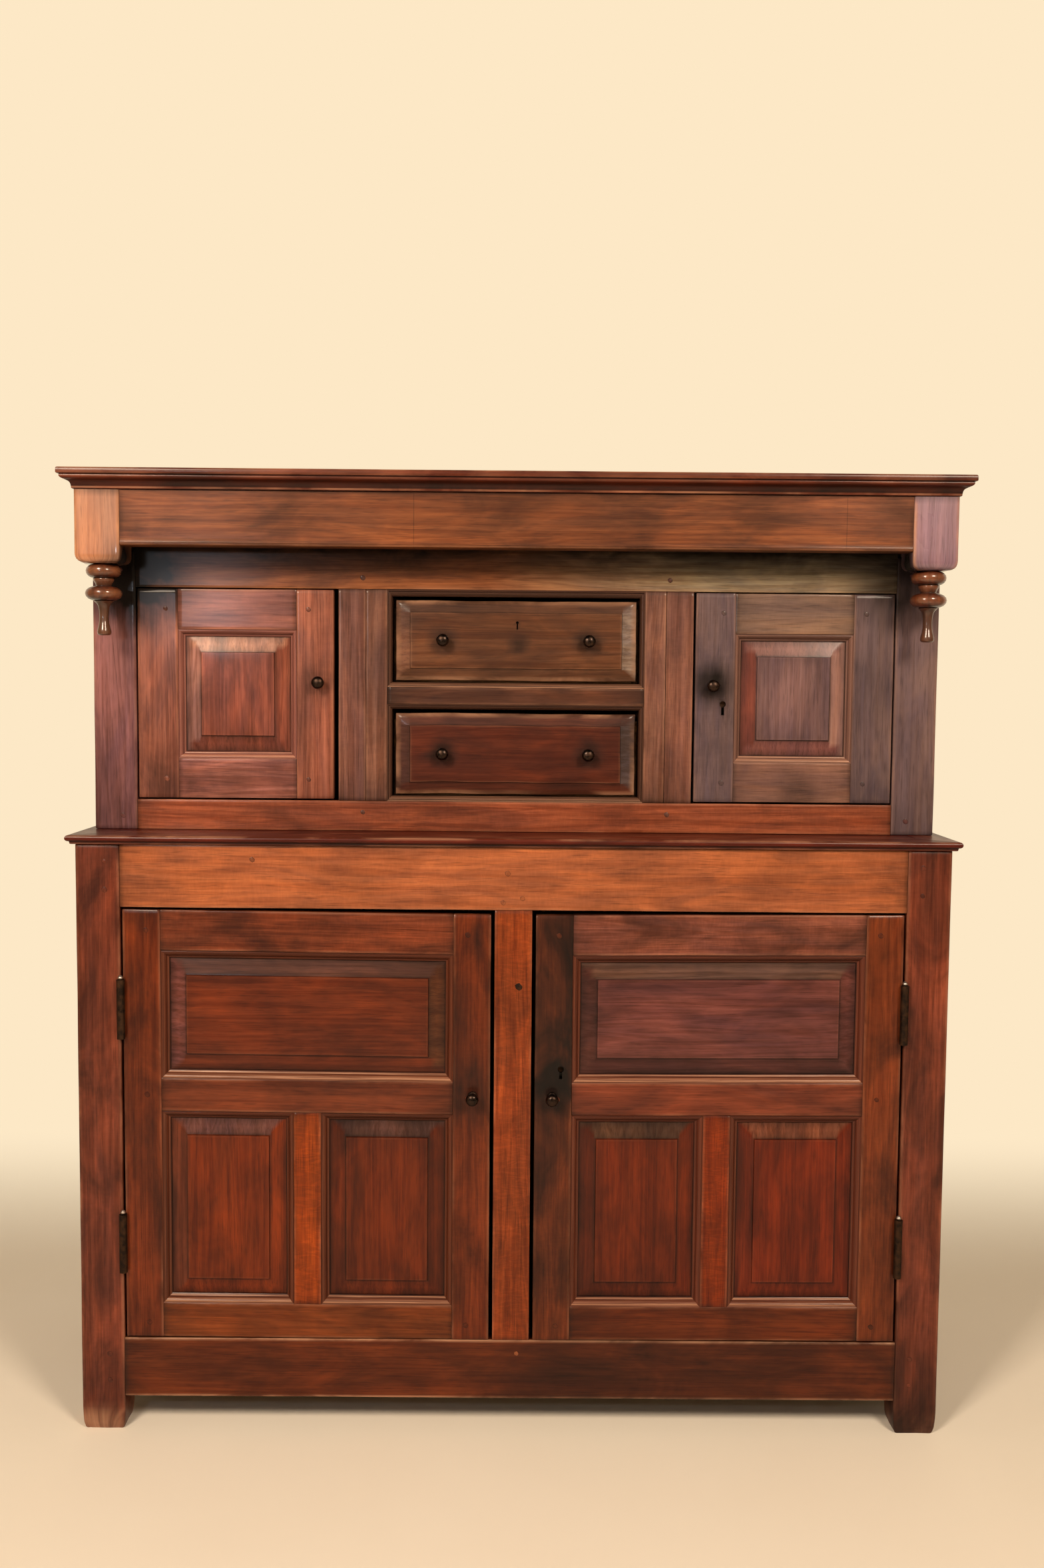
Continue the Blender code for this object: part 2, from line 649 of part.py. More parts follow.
def upper_rails():
    """Top and bottom rails, with the lips that frame the drawer openings."""
    x = grow((-UPPER_POST_INNER, UPPER_POST_INNER), -SEAT_GAP)
    y = (UPPER_FRONT, UPPER_FRONT + RAIL_THICKNESS)
    top = block("upper_top_rail", x, y, (UPPER_HEAD, CANOPY_TOP - SEAT_GAP), DARK_OAK)
    bottom = block("upper_bottom_rail", x, y, (LEDGE_TOP + SEAT_GAP, UPPER_SILL), WARM_OAK)
    lip_x = grow((-DRAWER_HALF, DRAWER_HALF), -SEAT_GAP)
    join(top, block("top_lip", lip_x, y, (DRAWER_HEAD, UPPER_HEAD + TENON_ROOT)))
    join(bottom, block("bottom_lip", lip_x, y, (UPPER_SILL - TENON_ROOT, DRAWER_SILL)))
    return {"top": top, "bottom": bottom}


def upper_frame():
    """Front posts, rails, muntins and drawer rail of the upper case."""
    rails = upper_rails()
    y = (UPPER_FRONT, UPPER_FRONT + RAIL_THICKNESS)
    rail_z = (DRAWER_RAIL_BOTTOM, DRAWER_RAIL_TOP)
    rail_x = grow((-DRAWER_HALF, DRAWER_HALF), -SEAT_GAP)
    drawer_rail = block("drawer_rail", rail_x, y, rail_z, WARM_OAK)
    post_top = FRIEZE_BOTTOM - SEAT_GAP
    muntins = {}
    for name, side in SIDES.items():
        post_x = span(side * UPPER_POST_INNER, side * UPPER_HALF)
        post_y = (UPPER_FRONT, UPPER_FRONT + POST_DEPTH)
        post_z = (LEDGE_TOP + SEAT_GAP, post_top)
        post = block(f"upper_post_{name}", post_x, post_y, post_z, DARK_OAK, ARRIS)
        rail_tenon(rails["top"], post, UPPER_FRONT, UPPER_POST_INNER, side, (UPPER_HEAD, post_top))
        rail_tenon(rails["bottom"], post, UPPER_FRONT, UPPER_POST_INNER, side, (LEDGE_TOP, UPPER_SILL))
        x = span(side * DRAWER_HALF, side * MUNTIN_OUTER)
        muntin_z = (UPPER_SILL + SEAT_GAP, UPPER_HEAD - SEAT_GAP)
        muntin = block(f"upper_muntin_{name}", x, y, muntin_z, WARM_OAK)
        muntin_tenon(muntin, rails["top"], UPPER_FRONT, x, UPPER_HEAD, 1)
        muntin_tenon(muntin, rails["bottom"], UPPER_FRONT, x, UPPER_SILL, -1)
        rail_tenon(drawer_rail, muntin, UPPER_FRONT, DRAWER_HALF, side, rail_z)
        muntins[name] = muntin
    mould_drawer_openings(rails, drawer_rail, muntins)
    return rails, muntins


def mould_drawer_openings(rails, drawer_rail, muntins):
    """Sloping moulded edge round both drawer openings."""
    flare = DRAWER_EDGE_MOULDING * (1 + CUT_OVERRUN / DRAWER_EDGE_DEPTH)
    openings = {"top": (DRAWER_RAIL_TOP, DRAWER_HEAD), "bottom": (DRAWER_SILL, DRAWER_RAIL_BOTTOM)}
    for level, z in openings.items():
        steps = [(-CUT_OVERRUN, flare), (DRAWER_EDGE_DEPTH, 0)]
        rings = [ring_y(UPPER_FRONT + depth, grow((-DRAWER_HALF, DRAWER_HALF), out), grow(z, out))
                 for depth, out in steps]
        edge = loft(f"{level}_drawer_edge", rings)
        for timber in (rails[level], drawer_rail, muntins["left"], muntins["right"]):
            cut(timber, edge)


def upper_sides(pendants):
    """Panelled sides with their rear posts, and the arms that carry the canopy."""
    for name, side in SIDES.items():
        z = (LEDGE_TOP + SEAT_GAP, FRIEZE_BOTTOM + TENON_ROOT)
        y_front = UPPER_FRONT + POST_DEPTH + SEAT_GAP
        frame = side_frame(f"upper_side_{name}", side, UPPER_HALF, y_front, z, z[0], DARK_OAK)
        arm_x = span(side * (UPPER_HALF - ARM_THICKNESS), side * UPPER_HALF)
        arm_y = (FRONT + BLOCK_SIZE + SEAT_GAP, BACK)
        arm_z = (FRIEZE_BOTTOM, CANOPY_TOP - SEAT_GAP)
        join(frame, block(f"canopy_arm_{name}", arm_x, arm_y, arm_z))
        tongue_x = middle(side * (UPPER_HALF - ARM_THICKNESS / 2), TENON_THICKNESS)
        tongue_y = (FRONT + BLOCK_SIZE - TENON_LENGTH, FRONT + BLOCK_SIZE + TENON_ROOT)
        tenon(frame, pendants[name], tongue_x, tongue_y, grow(arm_z, -TENON_SHOULDER))
        panel_y = (y_front + SIDE_RAIL + SIDE_PANEL_SLOPE, BACK - REAR_POST_SIZE - SIDE_PANEL_SLOPE)
        panel_z = (UPPER_SILL + SIDE_PANEL_SLOPE, UPPER_HEAD - SIDE_PANEL_SLOPE)
        cut(frame, side_recess(f"upper_side_{name}_panel", side, UPPER_HALF, panel_y, panel_z))


def drawer_well():
    """Partitions, dust boards and ceiling round the two drawers."""
    inner = DRAWER_HALF
    outer = inner + WELL_WALL
    y = (UPPER_FRONT + RAIL_THICKNESS + SEAT_GAP, BACK - BACK_THICKNESS - SEAT_GAP)
    ceiling = UPPER_HEAD + DUST_BOARD
    well = block("drawer_well", (-outer, outer), y, (LEDGE_TOP + SEAT_GAP, ceiling), RAW_OAK)
    bays = {"foot": (LEDGE_TOP - CUT_OVERRUN, DRAWER_SILL - DUST_BOARD),
            "bottom": (DRAWER_SILL, DRAWER_RAIL_TOP - DUST_BOARD),
            "top": (DRAWER_RAIL_TOP, UPPER_HEAD)}
    for bay, z in bays.items():
        cut(well, block(f"well_{bay}_bay", (-inner, inner), grow(y, CUT_OVERRUN), z))


def upper_door(name, side, rails, muntin):
    edge = MUNTIN_OUTER + UPPER_FREE_GAP
    outer = UPPER_POST_INNER - UPPER_HINGE_GAP
    x = span(side * edge, side * outer)
    z = (UPPER_SILL + UPPER_BOTTOM_GAP, UPPER_HEAD - UPPER_TOP_GAP)
    pivot_x = side * PIVOT_X
    empty = pivot_empty(f"upper_door_{name}_axis", pivot_x, PIVOT_Y, z[0])
    y = (UPPER_FRONT, UPPER_FRONT + UPPER_DOOR_THICKNESS)
    frame = block(f"upper_door_{name}_frame", x, y, z, WARM_OAK)
    low = UPPER_SILL - PIVOT_LENGTH
    high = UPPER_HEAD + PIVOT_LENGTH
    join(frame, rod(f"upper_door_{name}_pivot", PIVOT_RADIUS, pivot_x, PIVOT_Y, (low, high)))
    hole = PIVOT_RADIUS + PIN_CLEAR
    cut(rails["bottom"], rod(f"pivot_hole_low_{name}", hole, pivot_x, PIVOT_Y,
                             (low - SEAT_GAP, UPPER_SILL + CUT_OVERRUN)))
    cut(rails["top"], rod(f"pivot_hole_high_{name}", hole, pivot_x, PIVOT_Y,
                          (UPPER_HEAD - CUT_OVERRUN, high + SEAT_GAP)))
    label = f"upper_door_{name}_panel"
    inset = -UPPER_FRAME - UPPER_MOULDING
    panel_opening(label, frame, grow(x, inset), grow(z, inset), UPPER_FRONT, UPPER_DOOR_THICKNESS,
                  UPPER_MOULDING)
    hang(fielded_panel(label, grow(x, inset), grow(z, inset), UPPER_FRONT, UPPER_FIELD_BEVEL), empty)
    knob(f"upper_door_{name}_knob", side * (edge + UPPER_KNOB_EDGE), UPPER_FRONT,
         z[0] + UPPER_KNOB_HEIGHT, DRAWER_KNOB_REACH, frame, empty)
    if side > 0:
        lock_bolt("upper_lock_bolt", frame, muntin, side, edge, MUNTIN_OUTER, UPPER_KEY_EDGE,
                  UPPER_FRONT, UPPER_DOOR_THICKNESS, z[0] + UPPER_KEY_HEIGHT, empty)
    hang(frame, empty)


def drawer(level, z_opening):
    """Fielded front, box and two knobs of one drawer."""
    z = grow(z_opening, -DRAWER_GAP)
    x = grow((-DRAWER_HALF, DRAWER_HALF), -DRAWER_GAP)
    empty = pivot_empty(f"{level}_drawer_axis", 0, UPPER_FRONT, z_opening[0])
    field_x = grow(x, -DRAWER_BEVEL_SIDE)
    field_z = grow(z, -DRAWER_BEVEL_TOP)
    rings = [ring_y(UPPER_FRONT, field_x, field_z),
             ring_y(UPPER_FRONT + FIELD_STEP, field_x, field_z),
             ring_y(UPPER_FRONT + DRAWER_EDGE_SETBACK, x, z),
             ring_y(UPPER_FRONT + DRAWER_FRONT, x, z)]
    front = loft(f"{level}_drawer_front", rings, PANEL_OAK)
    half = DRAWER_HALF - DRAWER_SIDE_CLEAR
    box_y = (UPPER_FRONT + DRAWER_FRONT + SEAT_GAP, BACK - BACK_THICKNESS - DRAWER_BACK_CLEAR)
    box_z = (z_opening[0] + SEAT_GAP, z_opening[1] - DRAWER_BOX_DROP)
    box = block(f"{level}_drawer_box", (-half, half), box_y, box_z, RAW_OAK)
    hollow_z = (box_z[0] + DRAWER_BOX_BOTTOM, box_z[1] + CUT_OVERRUN)
    cut(box, block(f"{level}_drawer_hollow", grow((-half, half), -DRAWER_BOX_WALL),
                   grow(box_y, -DRAWER_BOX_WALL), hollow_z))
    for name, side in SIDES.items():
        knob(f"{level}_drawer_knob_{name}", side * DRAWER_KNOB_SPACING / 2, UPPER_FRONT, sum(z) / 2,
             DRAWER_KNOB_REACH, front, empty)
    hang(front, empty)
    hang(box, empty)


def pendant_profile(top):
    """Turned drop from the block down: ring, neck, bead, neck, ring, cup, stem, flared tip."""
    ring_low = top - RING_HEIGHT - UPPER_NECK_HEIGHT - BEAD_HEIGHT - LOWER_NECK_HEIGHT
    bead_top = top - RING_HEIGHT - UPPER_NECK_HEIGHT
    cup_top = ring_low - RING_HEIGHT
    stem_top = cup_top - CUP_HEIGHT
    tip_top = stem_top - STEM_HEIGHT
    points = [(0, top + PENDANT_SINK), (COVE_RADIUS, top + PENDANT_SINK)]
    points += half_round(RING_RADIUS, COVE_RADIUS, top, RING_HEIGHT)
    points += half_round(BEAD_RADIUS, COVE_RADIUS, bead_top, BEAD_HEIGHT)
    points += half_round(RING_RADIUS, CUP_RADIUS, ring_low, RING_HEIGHT)
    points += [(STEM_RADIUS, stem_top), (STEM_RADIUS, tip_top)]
    points += [(TIP_RADIUS, tip_top - TIP_HEIGHT), (TIP_RADIUS, tip_top - TIP_HEIGHT - TIP_FILLET)]
    points.append((0, tip_top - TIP_HEIGHT - TIP_FILLET))
    return points


def pendants():
    """Corner blocks of the canopy, each in one piece with its turned drop."""
    made = {}
    bottom = CANOPY_TOP - BLOCK_HEIGHT
    for name, side in SIDES.items():
        x = span(side * (UPPER_HALF - BLOCK_SIZE), side * UPPER_HALF)
        corner = block(f"pendant_{name}", x, (FRONT, FRONT + BLOCK_SIZE),
                       (bottom, CANOPY_TOP - SEAT_GAP), DARK_OAK, BLOCK_EASE)
        drop = turned(f"pendant_drop_{name}", pendant_profile(bottom), PENDANT_STEPS)
        drop.location = (sum(x) / 2, FRONT + BLOCK_SIZE / 2, 0)
        join(corner, drop)
        made[name] = corner
    return made


def frieze(corners):
    """Frieze rail between the corner blocks, with its lower front edge chamfered."""
    edge = UPPER_HALF - BLOCK_SIZE
    front = FRONT + FRIEZE_SETBACK
    back = front + RAIL_THICKNESS
    top = CANOPY_TOP - SEAT_GAP
    outline = [(front, top), (back, top), (back, FRIEZE_BOTTOM),
               (front + FRIEZE_CHAMFER, FRIEZE_BOTTOM), (front, FRIEZE_BOTTOM + FRIEZE_CHAMFER)]
    rings = [[Vector((x, y, z)) for y, z in outline] for x in (SEAT_GAP - edge, edge - SEAT_GAP)]
    rail = loft("frieze_rail", rings, DARK_OAK)
    for name, side in SIDES.items():
        rail_tenon(rail, corners[name], front, edge, side, (FRIEZE_BOTTOM, top))


def cornice():
    """Coved moulding with a square top fillet on three sides, and the boards inside it."""
    base = CANOPY_TOP + SEAT_GAP
    cove_out = CORNICE_PROJECTION - CORNICE_COVE_LIP
    angles = [pi / 2 * i / COVE_STEPS for i in range(COVE_STEPS + 1)]
    levels = [(base + CORNICE_COVE_HEIGHT * sin(a), cove_out * (1 - cos(a))) for a in angles]
    fillet = base + CORNICE_COVE_HEIGHT
    top = fillet + CORNICE_FILLET_HEIGHT
    levels += [(fillet + CORNICE_LIP_SLOPE, CORNICE_PROJECTION), (top, CORNICE_PROJECTION)]
    moulding = moulded_board("cornice", UPPER_HALF, levels, WARM_OAK)
    inner_x = UPPER_HALF - CORNICE_INSET
    inner_y = FRONT + CORNICE_INSET
    cut(moulding, block("cornice_inside", (-inner_x, inner_x), (inner_y, BACK + CUT_OVERRUN),
                        (base - CUT_OVERRUN, top + CUT_OVERRUN)))
    boards_x = grow((-inner_x, inner_x), -SEAT_GAP)
    block("top_boards", boards_x, (inner_y + SEAT_GAP, BACK), (base, base + TOP_BOARD_THICKNESS), RAW_OAK)


def main():
    lower_muntin = lower_frame()
    lower_sides()
    lower_inside()
    waist_ledge()
    rails, muntins = upper_frame()
    corners = pendants()
    upper_sides(corners)
    back_boards("upper_back", UPPER_HALF, (LEDGE_TOP + SEAT_GAP, CANOPY_TOP - SEAT_GAP))
    drawer_well()
    frieze(corners)
    cornice()
    for name, side in SIDES.items():
        lower_door(name, side, lower_muntin)
        upper_door(name, side, rails, muntins[name])
    drawer("top", (DRAWER_RAIL_TOP, DRAWER_HEAD))
    drawer("bottom", (DRAWER_SILL, DRAWER_RAIL_BOTTOM))


main()
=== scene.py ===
"""Looks of the joined oak press cupboard: every timber with its own grain, wax, wear and grime.

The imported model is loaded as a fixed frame. The timbers, mouldings, boards, turned drops and
irons are made again over it, in metres, in the same frame: the front faces -Y, the floor is Z = 0.
"""

from math import asin, cos, pi, radians, sin
from random import Random
from types import SimpleNamespace

import bmesh
import bpy
from mathutils import Matrix, Vector, kdtree, noise


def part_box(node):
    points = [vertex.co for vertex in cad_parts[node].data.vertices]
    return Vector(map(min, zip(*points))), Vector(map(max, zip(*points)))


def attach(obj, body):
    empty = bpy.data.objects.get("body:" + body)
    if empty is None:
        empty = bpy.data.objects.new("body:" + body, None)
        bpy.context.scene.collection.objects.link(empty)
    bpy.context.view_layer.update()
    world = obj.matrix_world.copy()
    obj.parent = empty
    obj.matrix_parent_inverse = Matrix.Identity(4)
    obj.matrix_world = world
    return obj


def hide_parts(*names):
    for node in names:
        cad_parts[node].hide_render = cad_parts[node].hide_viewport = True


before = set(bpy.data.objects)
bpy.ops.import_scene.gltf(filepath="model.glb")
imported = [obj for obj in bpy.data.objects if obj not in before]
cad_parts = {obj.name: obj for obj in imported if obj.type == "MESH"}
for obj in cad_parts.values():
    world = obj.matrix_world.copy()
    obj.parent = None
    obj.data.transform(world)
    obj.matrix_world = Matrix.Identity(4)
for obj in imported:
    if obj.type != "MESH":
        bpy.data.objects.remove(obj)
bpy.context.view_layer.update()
MM = 0.001

# Planes and levels of the frame, as in the part's source
FRONT = -0.24585
BACK = 0.27415
UPPER_FRONT = -0.15285
LOWER_HALF = 0.700
UPPER_HALF = 0.695
LOWER_POST_INNER = 0.630
UPPER_POST_INNER = 0.625
POST_DEPTH = 0.060
REAR_POST = 0.056
RAIL_THICKNESS = 0.030
BACK_THICKNESS = 0.016
FOOT_HEIGHT = 0.057
LOWER_SILL = 0.155
MIDDLE_RAIL = (0.532, 0.585)
LOWER_HEAD = 0.8645
LOWER_HEIGHT = 0.966
LEDGE_TOP = 0.9805
UPPER_SILL = 1.0305
UPPER_HEAD = 1.3795
FRIEZE_BOTTOM = 1.4385
CANOPY_TOP = 1.525
DRAWER_HALF = 0.204
MUNTIN_OUTER = 0.292
DRAWER_SILL = 1.0395
DRAWER_RAIL_BOTTOM = 1.1835
DRAWER_RAIL_TOP = 1.2275
DRAWER_HEAD = 1.3685
SIDES = {"left": -1, "right": 1}
SEAT = 0.0003

# Tones of the timbers: the light streaks of each one's grain. The grey in upper_left_head and
# lower_right_wide_panel is partly a painted sheen.
TONES = {
    "cornice": "#5f270f", "frieze": "#875736", "left_block": "#b8896d", "right_block": "#917a93",
    "pendant": "#5e2c17", "canopy_arm": "#6f402c", "upper_top_rail": "#8e5f3e",
    "upper_post_left": "#86626e", "upper_post_right": "#675d69", "upper_bottom_rail": "#975a42",
    "upper_left_stile": "#926358", "upper_left_head": "#8f635e", "upper_left_rail": "#a97877",
    "upper_left_panel": "#8e574c", "upper_right_stile": "#645b68", "upper_right_head": "#7c6d67",
    "upper_right_rail": "#866c69", "upper_right_panel": "#756472", "upper_muntin": "#7b5b56",
    "upper_muntin_strip": "#7f615a", "top_drawer": "#624532", "bottom_drawer": "#5d2f20",
    "drawer_rail": "#583d32", "ledge": "#5c1b08", "lower_top_rail": "#a96d4b",
    "lower_post_left": "#784334", "lower_post_right": "#784334", "lower_muntin": "#954c23",
    "lower_bottom_rail": "#6a3518", "lower_left_head": "#7a442e", "lower_left_rail": "#6f3c27",
    "lower_left_stile": "#6c3419", "lower_left_muntin": "#994911", "lower_left_foot": "#7c441f",
    "lower_left_wide_panel": "#70371f", "lower_left_outer_panel": "#7b3612",
    "lower_left_inner_panel": "#6c2f11", "lower_right_head": "#82554b", "lower_right_rail": "#733f2f",
    "lower_right_stile": "#743d21", "lower_right_muntin": "#82360b", "lower_right_foot": "#643013",
    "lower_right_wide_panel": "#6b4448", "lower_right_outer_panel": "#762d10",
    "lower_right_inner_panel": "#6f2d0f", "side": "#6e3822", "dry_board": "#84603f",
    "dry_inside": "#7a5538", "drawer_side": "#8e6a46",
}
# Iron pieces carry a tone too, which their finish doesn't read
IRON_TONE = "drawer_rail"


def linear(hex_colour):
    """Linear RGBA of an sRGB hex colour."""
    channels = [int(hex_colour[i:i + 2], 16) / 255 for i in (1, 3, 5)]
    curve = [c / 12.92 if c <= 0.04045 else ((c + 0.055) / 1.055) ** 2.4 for c in channels]
    return (*curve, 1.0)


# Sockets of a Mix node that mixes colours, and its settings to lay one over another or multiply them
FACTOR, COLOUR_A, COLOUR_B, COLOUR_RESULT = 0, 6, 7, 2
LAID_OVER = {"data_type": "RGBA"}
MULTIPLIED = {"data_type": "RGBA", "blend_type": "MULTIPLY"}


def set_sockets(tree, node, sockets):
    """Give a node's input sockets values, links, or the results of other nodes."""
    for key, value in sockets.items():
        if isinstance(value, bpy.types.Node):
            value = value.outputs[COLOUR_RESULT if value.type == "MIX" else 0]
        if isinstance(value, bpy.types.NodeSocket):
            tree.links.new(value, node.inputs[key])
        else:
            node.inputs[key].default_value = value


def add_node(tree, kind, sockets=None, **settings):
    """Add a shader node, with its settings, and values or links for its input sockets."""
    node = tree.nodes.new("ShaderNode" + kind)
    for key, value in settings.items():
        setattr(node, key, value)
    set_sockets(tree, node, sockets or {})
    return node


def new_material(name):
    material = bpy.data.materials.new(name)
    material.use_nodes = True
    return material, material.node_tree, material.node_tree.nodes["Principled BSDF"]


# What the points of a piece carry for the oak finish, and the kind of layer for each
LAYERS = {"grain": "float_vector", "tone": "float_color", "wear": "float", "grime_and_shade": "float",
          "fleck": "float"}
# Marks of the grain, as size along and across the timber in millimetres, detail and warp. The
# vessels of real oak are 0.3 mm wide, too fine for the render, so they are drawn 1.6 mm wide.
MARKS = {"streak": ((380, 6), 5, 0.3), "vessel": ((34, 1.6), 1, 0.2), "growth": ((620, 34), 2, 0.8),
         "ray": ((9, 40), 2, 2.0), "blotch": ((150, 70), 4, 0.6), "patina": ((190, 48), 3, 1.0)}
RING_COUNT = 46.0
RING_SHARE = 0.10
STREAK_RELIEF = 0.6
DIRT_DULLS = 0.35
WAX_IOR = 1.45
# What the marks do to the wood, as (mark, its low and high level, the effect at each of them)
EFFECTS = {"shade": ("rings", 0.32, 0.68, 0.0, 1.0), "pores": ("vessel", 0.30, 0.46, 0.70, 1.0),
           "rays": ("ray", 0.46, 0.62, -0.22, 0.34), "drift": ("patina", 0.34, 0.66, 0.0, 1.0),
           "worn": ("blotch", 0.40, 0.60, 0.10, 1.1), "dirty": ("blotch", 0.25, 0.75, 1.15, 0.55)}


def grain_scale(size_mm):
    """Scale of grain coordinates in metres that makes one noise cell as long and wide as given."""
    along, across = size_mm
    return (1000 / along, 1000 / across, 1000 / across)


def oak(name, dark_streak, cool, warm, grime_and_shade, worn, mottle, roughness, coat, coat_roughness,
        sheen_level, vessel_depth):
    """Oak from its timber's own grain, with dirt and painted shade in the hollows and worn arrises."""
    material, tree, shader = new_material(name)
    carried = {layer: add_node(tree, "Attribute", attribute_name=layer).outputs for layer in LAYERS}
    tone, figure = carried["tone"]["Color"], carried["tone"]["Alpha"]
    marks = {}
    for mark, (size, detail, warp) in MARKS.items():
        place = add_node(tree, "VectorMath", {0: carried["grain"]["Vector"], 1: grain_scale(size)},
                         operation="MULTIPLY")
        marks[mark] = add_node(tree, "TexNoise", {"Vector": place, "Scale": 1.0, "Detail": detail,
                                                  "Roughness": 0.6, "Distortion": warp})
    rings = add_node(tree, "Math", {0: marks["growth"], 1: RING_COUNT}, operation="MULTIPLY")
    rings = add_node(tree, "Math", {0: rings}, operation="SINE")
    marks["rings"] = add_node(tree, "Math", {0: rings, 1: RING_SHARE, 2: marks["streak"]},
                              operation="MULTIPLY_ADD")
    effects = EFFECTS | {"patches": ("blotch", 0.33, 0.67, mottle[0] - 1, mottle[1] - 1),
                         "gloss": ("blotch", 0.3, 0.7, roughness + 0.10, roughness - 0.05)}
    share = {effect: add_node(tree, "MapRange", dict(enumerate((marks[mark], *levels))))
             for effect, (mark, *levels) in effects.items()}
    patches = add_node(tree, "Math", {0: share["patches"], 1: figure, 2: 1.0}, operation="MULTIPLY_ADD")
    rays = add_node(tree, "Math", {0: share["rays"], 1: carried["fleck"]["Fac"], 2: 1.0},
                    operation="MULTIPLY_ADD")
    depth = add_node(tree, "Math", {0: share["pores"], 1: patches}, operation="MULTIPLY")
    depth = add_node(tree, "Math", {0: depth, 1: rays}, operation="MULTIPLY")
    rubbed = add_node(tree, "Math", {0: share["worn"], 1: carried["wear"]["Fac"]}, operation="MULTIPLY")
    dirt = add_node(tree, "Math", {0: share["dirty"], 1: carried["grime_and_shade"]["Fac"]}, operation="MULTIPLY",
                    use_clamp=True)
    dark = add_node(tree, "Mix", {FACTOR: figure, COLOUR_A: tone, COLOUR_B: linear(dark_streak)},
                    **MULTIPLIED)
    wood = add_node(tree, "Mix", {FACTOR: share["shade"], COLOUR_A: dark, COLOUR_B: tone}, **LAID_OVER)
    patina = add_node(tree, "Mix", {FACTOR: share["drift"], COLOUR_A: linear(cool),
                                    COLOUR_B: linear(warm)}, **LAID_OVER)
    wood = add_node(tree, "Mix", {FACTOR: 1.0, COLOUR_A: wood, COLOUR_B: patina}, **MULTIPLIED)
    wood = add_node(tree, "VectorMath", {0: wood, "Scale": depth}, operation="SCALE")
    wood = add_node(tree, "Mix", {FACTOR: rubbed, COLOUR_A: wood, COLOUR_B: linear(worn)}, **LAID_OVER)
    wood = add_node(tree, "Mix", {FACTOR: dirt, COLOUR_A: wood, COLOUR_B: linear(grime_and_shade)}, **LAID_OVER)
    gloss = add_node(tree, "Math", {0: dirt, 1: DIRT_DULLS, 2: share["gloss"]}, operation="MULTIPLY_ADD",
                     use_clamp=True)
    relief = add_node(tree, "Math", {0: marks["streak"], 1: STREAK_RELIEF, 2: share["pores"]},
                      operation="MULTIPLY_ADD")
    bump = add_node(tree, "Bump", {"Strength": 0.5, "Distance": vessel_depth, "Height": relief})
    set_sockets(tree, shader, {"Base Color": wood, "Roughness": gloss, "Normal": bump, "IOR": WAX_IOR,
                               "Specular IOR Level": sheen_level, "Coat Weight": coat,
                               "Coat Roughness": coat_roughness})
    return material


# Old oak under centuries of wax and handling: deep red brown with long dark streaks, a low
# uneven gloss, pale rubbed edges and near-black dirt where a cloth never reached. The same
# near-black is laid on as painted shade in hollows, under the canopy and behind the drops.
WAXED_OAK = oak("waxed_old_oak", dark_streak="#cfc0b5", cool="#cbbab6", warm="#ffe4c8", grime_and_shade="#100906",
                worn="#b98a6c", mottle=(0.64, 1.24), roughness=0.40, coat=0.22, coat_roughness=0.19,
                sheen_level=0.15, vessel_depth=0.3 * MM)

# The same oak turned on a lathe and burnished with shavings: darker in its hollows, sharper in gloss.
TURNED_OAK = oak("burnished_turned_oak", dark_streak="#b49c8e", cool="#e4d8d2", warm="#ffe9d4",
                 grime_and_shade="#0c0705", worn="#c08a62", mottle=(0.7, 1.15), roughness=0.28, coat=0.75,
                 coat_roughness=0.11, sheen_level=0.3, vessel_depth=0.2 * MM)

# Unwaxed oak of the insides and the back: dull grey brown, open grained, dusty in the corners.
DRY_OAK = oak("dry_unwaxed_oak", dark_streak="#b0a294", cool="#ece4dc", warm="#fbeedd", grime_and_shade="#1b130c",
              worn="#9c8262", mottle=(0.78, 1.14), roughness=0.72, coat=0.0, coat_roughness=0.5,
              sheen_level=0.30, vessel_depth=0.5 * MM)


def iron(name, bloom, base, roughness, pit_mm):
    """Iron with a patchy bloom of rust and shallow pits."""
    material, tree, shader = new_material(name)
    place = add_node(tree, "TexCoord").outputs["Object"]
    pits = add_node(tree, "TexNoise", {"Vector": place, "Scale": 1000 / pit_mm, "Detail": 4.0})
    patch = add_node(tree, "MapRange", {"Value": pits, "From Min": 0.40, "From Max": 0.66})
    colour = add_node(tree, "Mix", {FACTOR: patch, COLOUR_A: linear(base), COLOUR_B: linear(bloom)},
                      **LAID_OVER)
    dull = add_node(tree, "MapRange", {"Value": pits, "From Min": 0.35, "From Max": 0.7,
                                       "To Min": roughness, "To Max": roughness + 0.25})
    bump = add_node(tree, "Bump", {"Strength": 0.4, "Distance": 0.3 * MM, "Height": pits})
    set_sockets(tree, shader, {"Base Color": colour, "Roughness": dull, "Normal": bump, "Metallic": 1.0})
    return material


# Forged iron of the hinges: almost black, with brown rust bloom and a dull hammered surface.
FORGED_IRON = iron("forged_black_iron", bloom="#4a3527", base="#2a221d", roughness=0.48, pit_mm=9)

# Iron of the knobs, rubbed by hands: dark, with small sharp highlights.
HANDLED_IRON = iron("hand_rubbed_iron", bloom="#3d2e26", base="#2b2421", roughness=0.22, pit_mm=7)

# Iron of the hinge pins' tips, bare and grey where the dusters catch them.
RUBBED_IRON = iron("bare_rubbed_iron", bloom="#8c8078", base="#b3aaa2", roughness=0.30, pit_mm=6)


# Wobble of hand-planed timbers, and how far wear, dirt and scuffs reach from an edge
WOBBLE = 0.45 * MM
EDGE_REACH = 3.5 * MM
DIRT_REACH = 50 * MM
STATION_STEP = 0.07
SCUFF_HEIGHT = 0.038
SCUFF_LOSS = 4.5 * MM
SMOOTH_ANGLE = radians(50)
shuffle = Random(1685)


def span(first, second):
    return (min(first, second), max(first, second))


def grow(pair, amount):
    return (pair[0] - amount, pair[1] + amount)


def middle(centre, size):
    return (centre - size / 2, centre + size / 2)


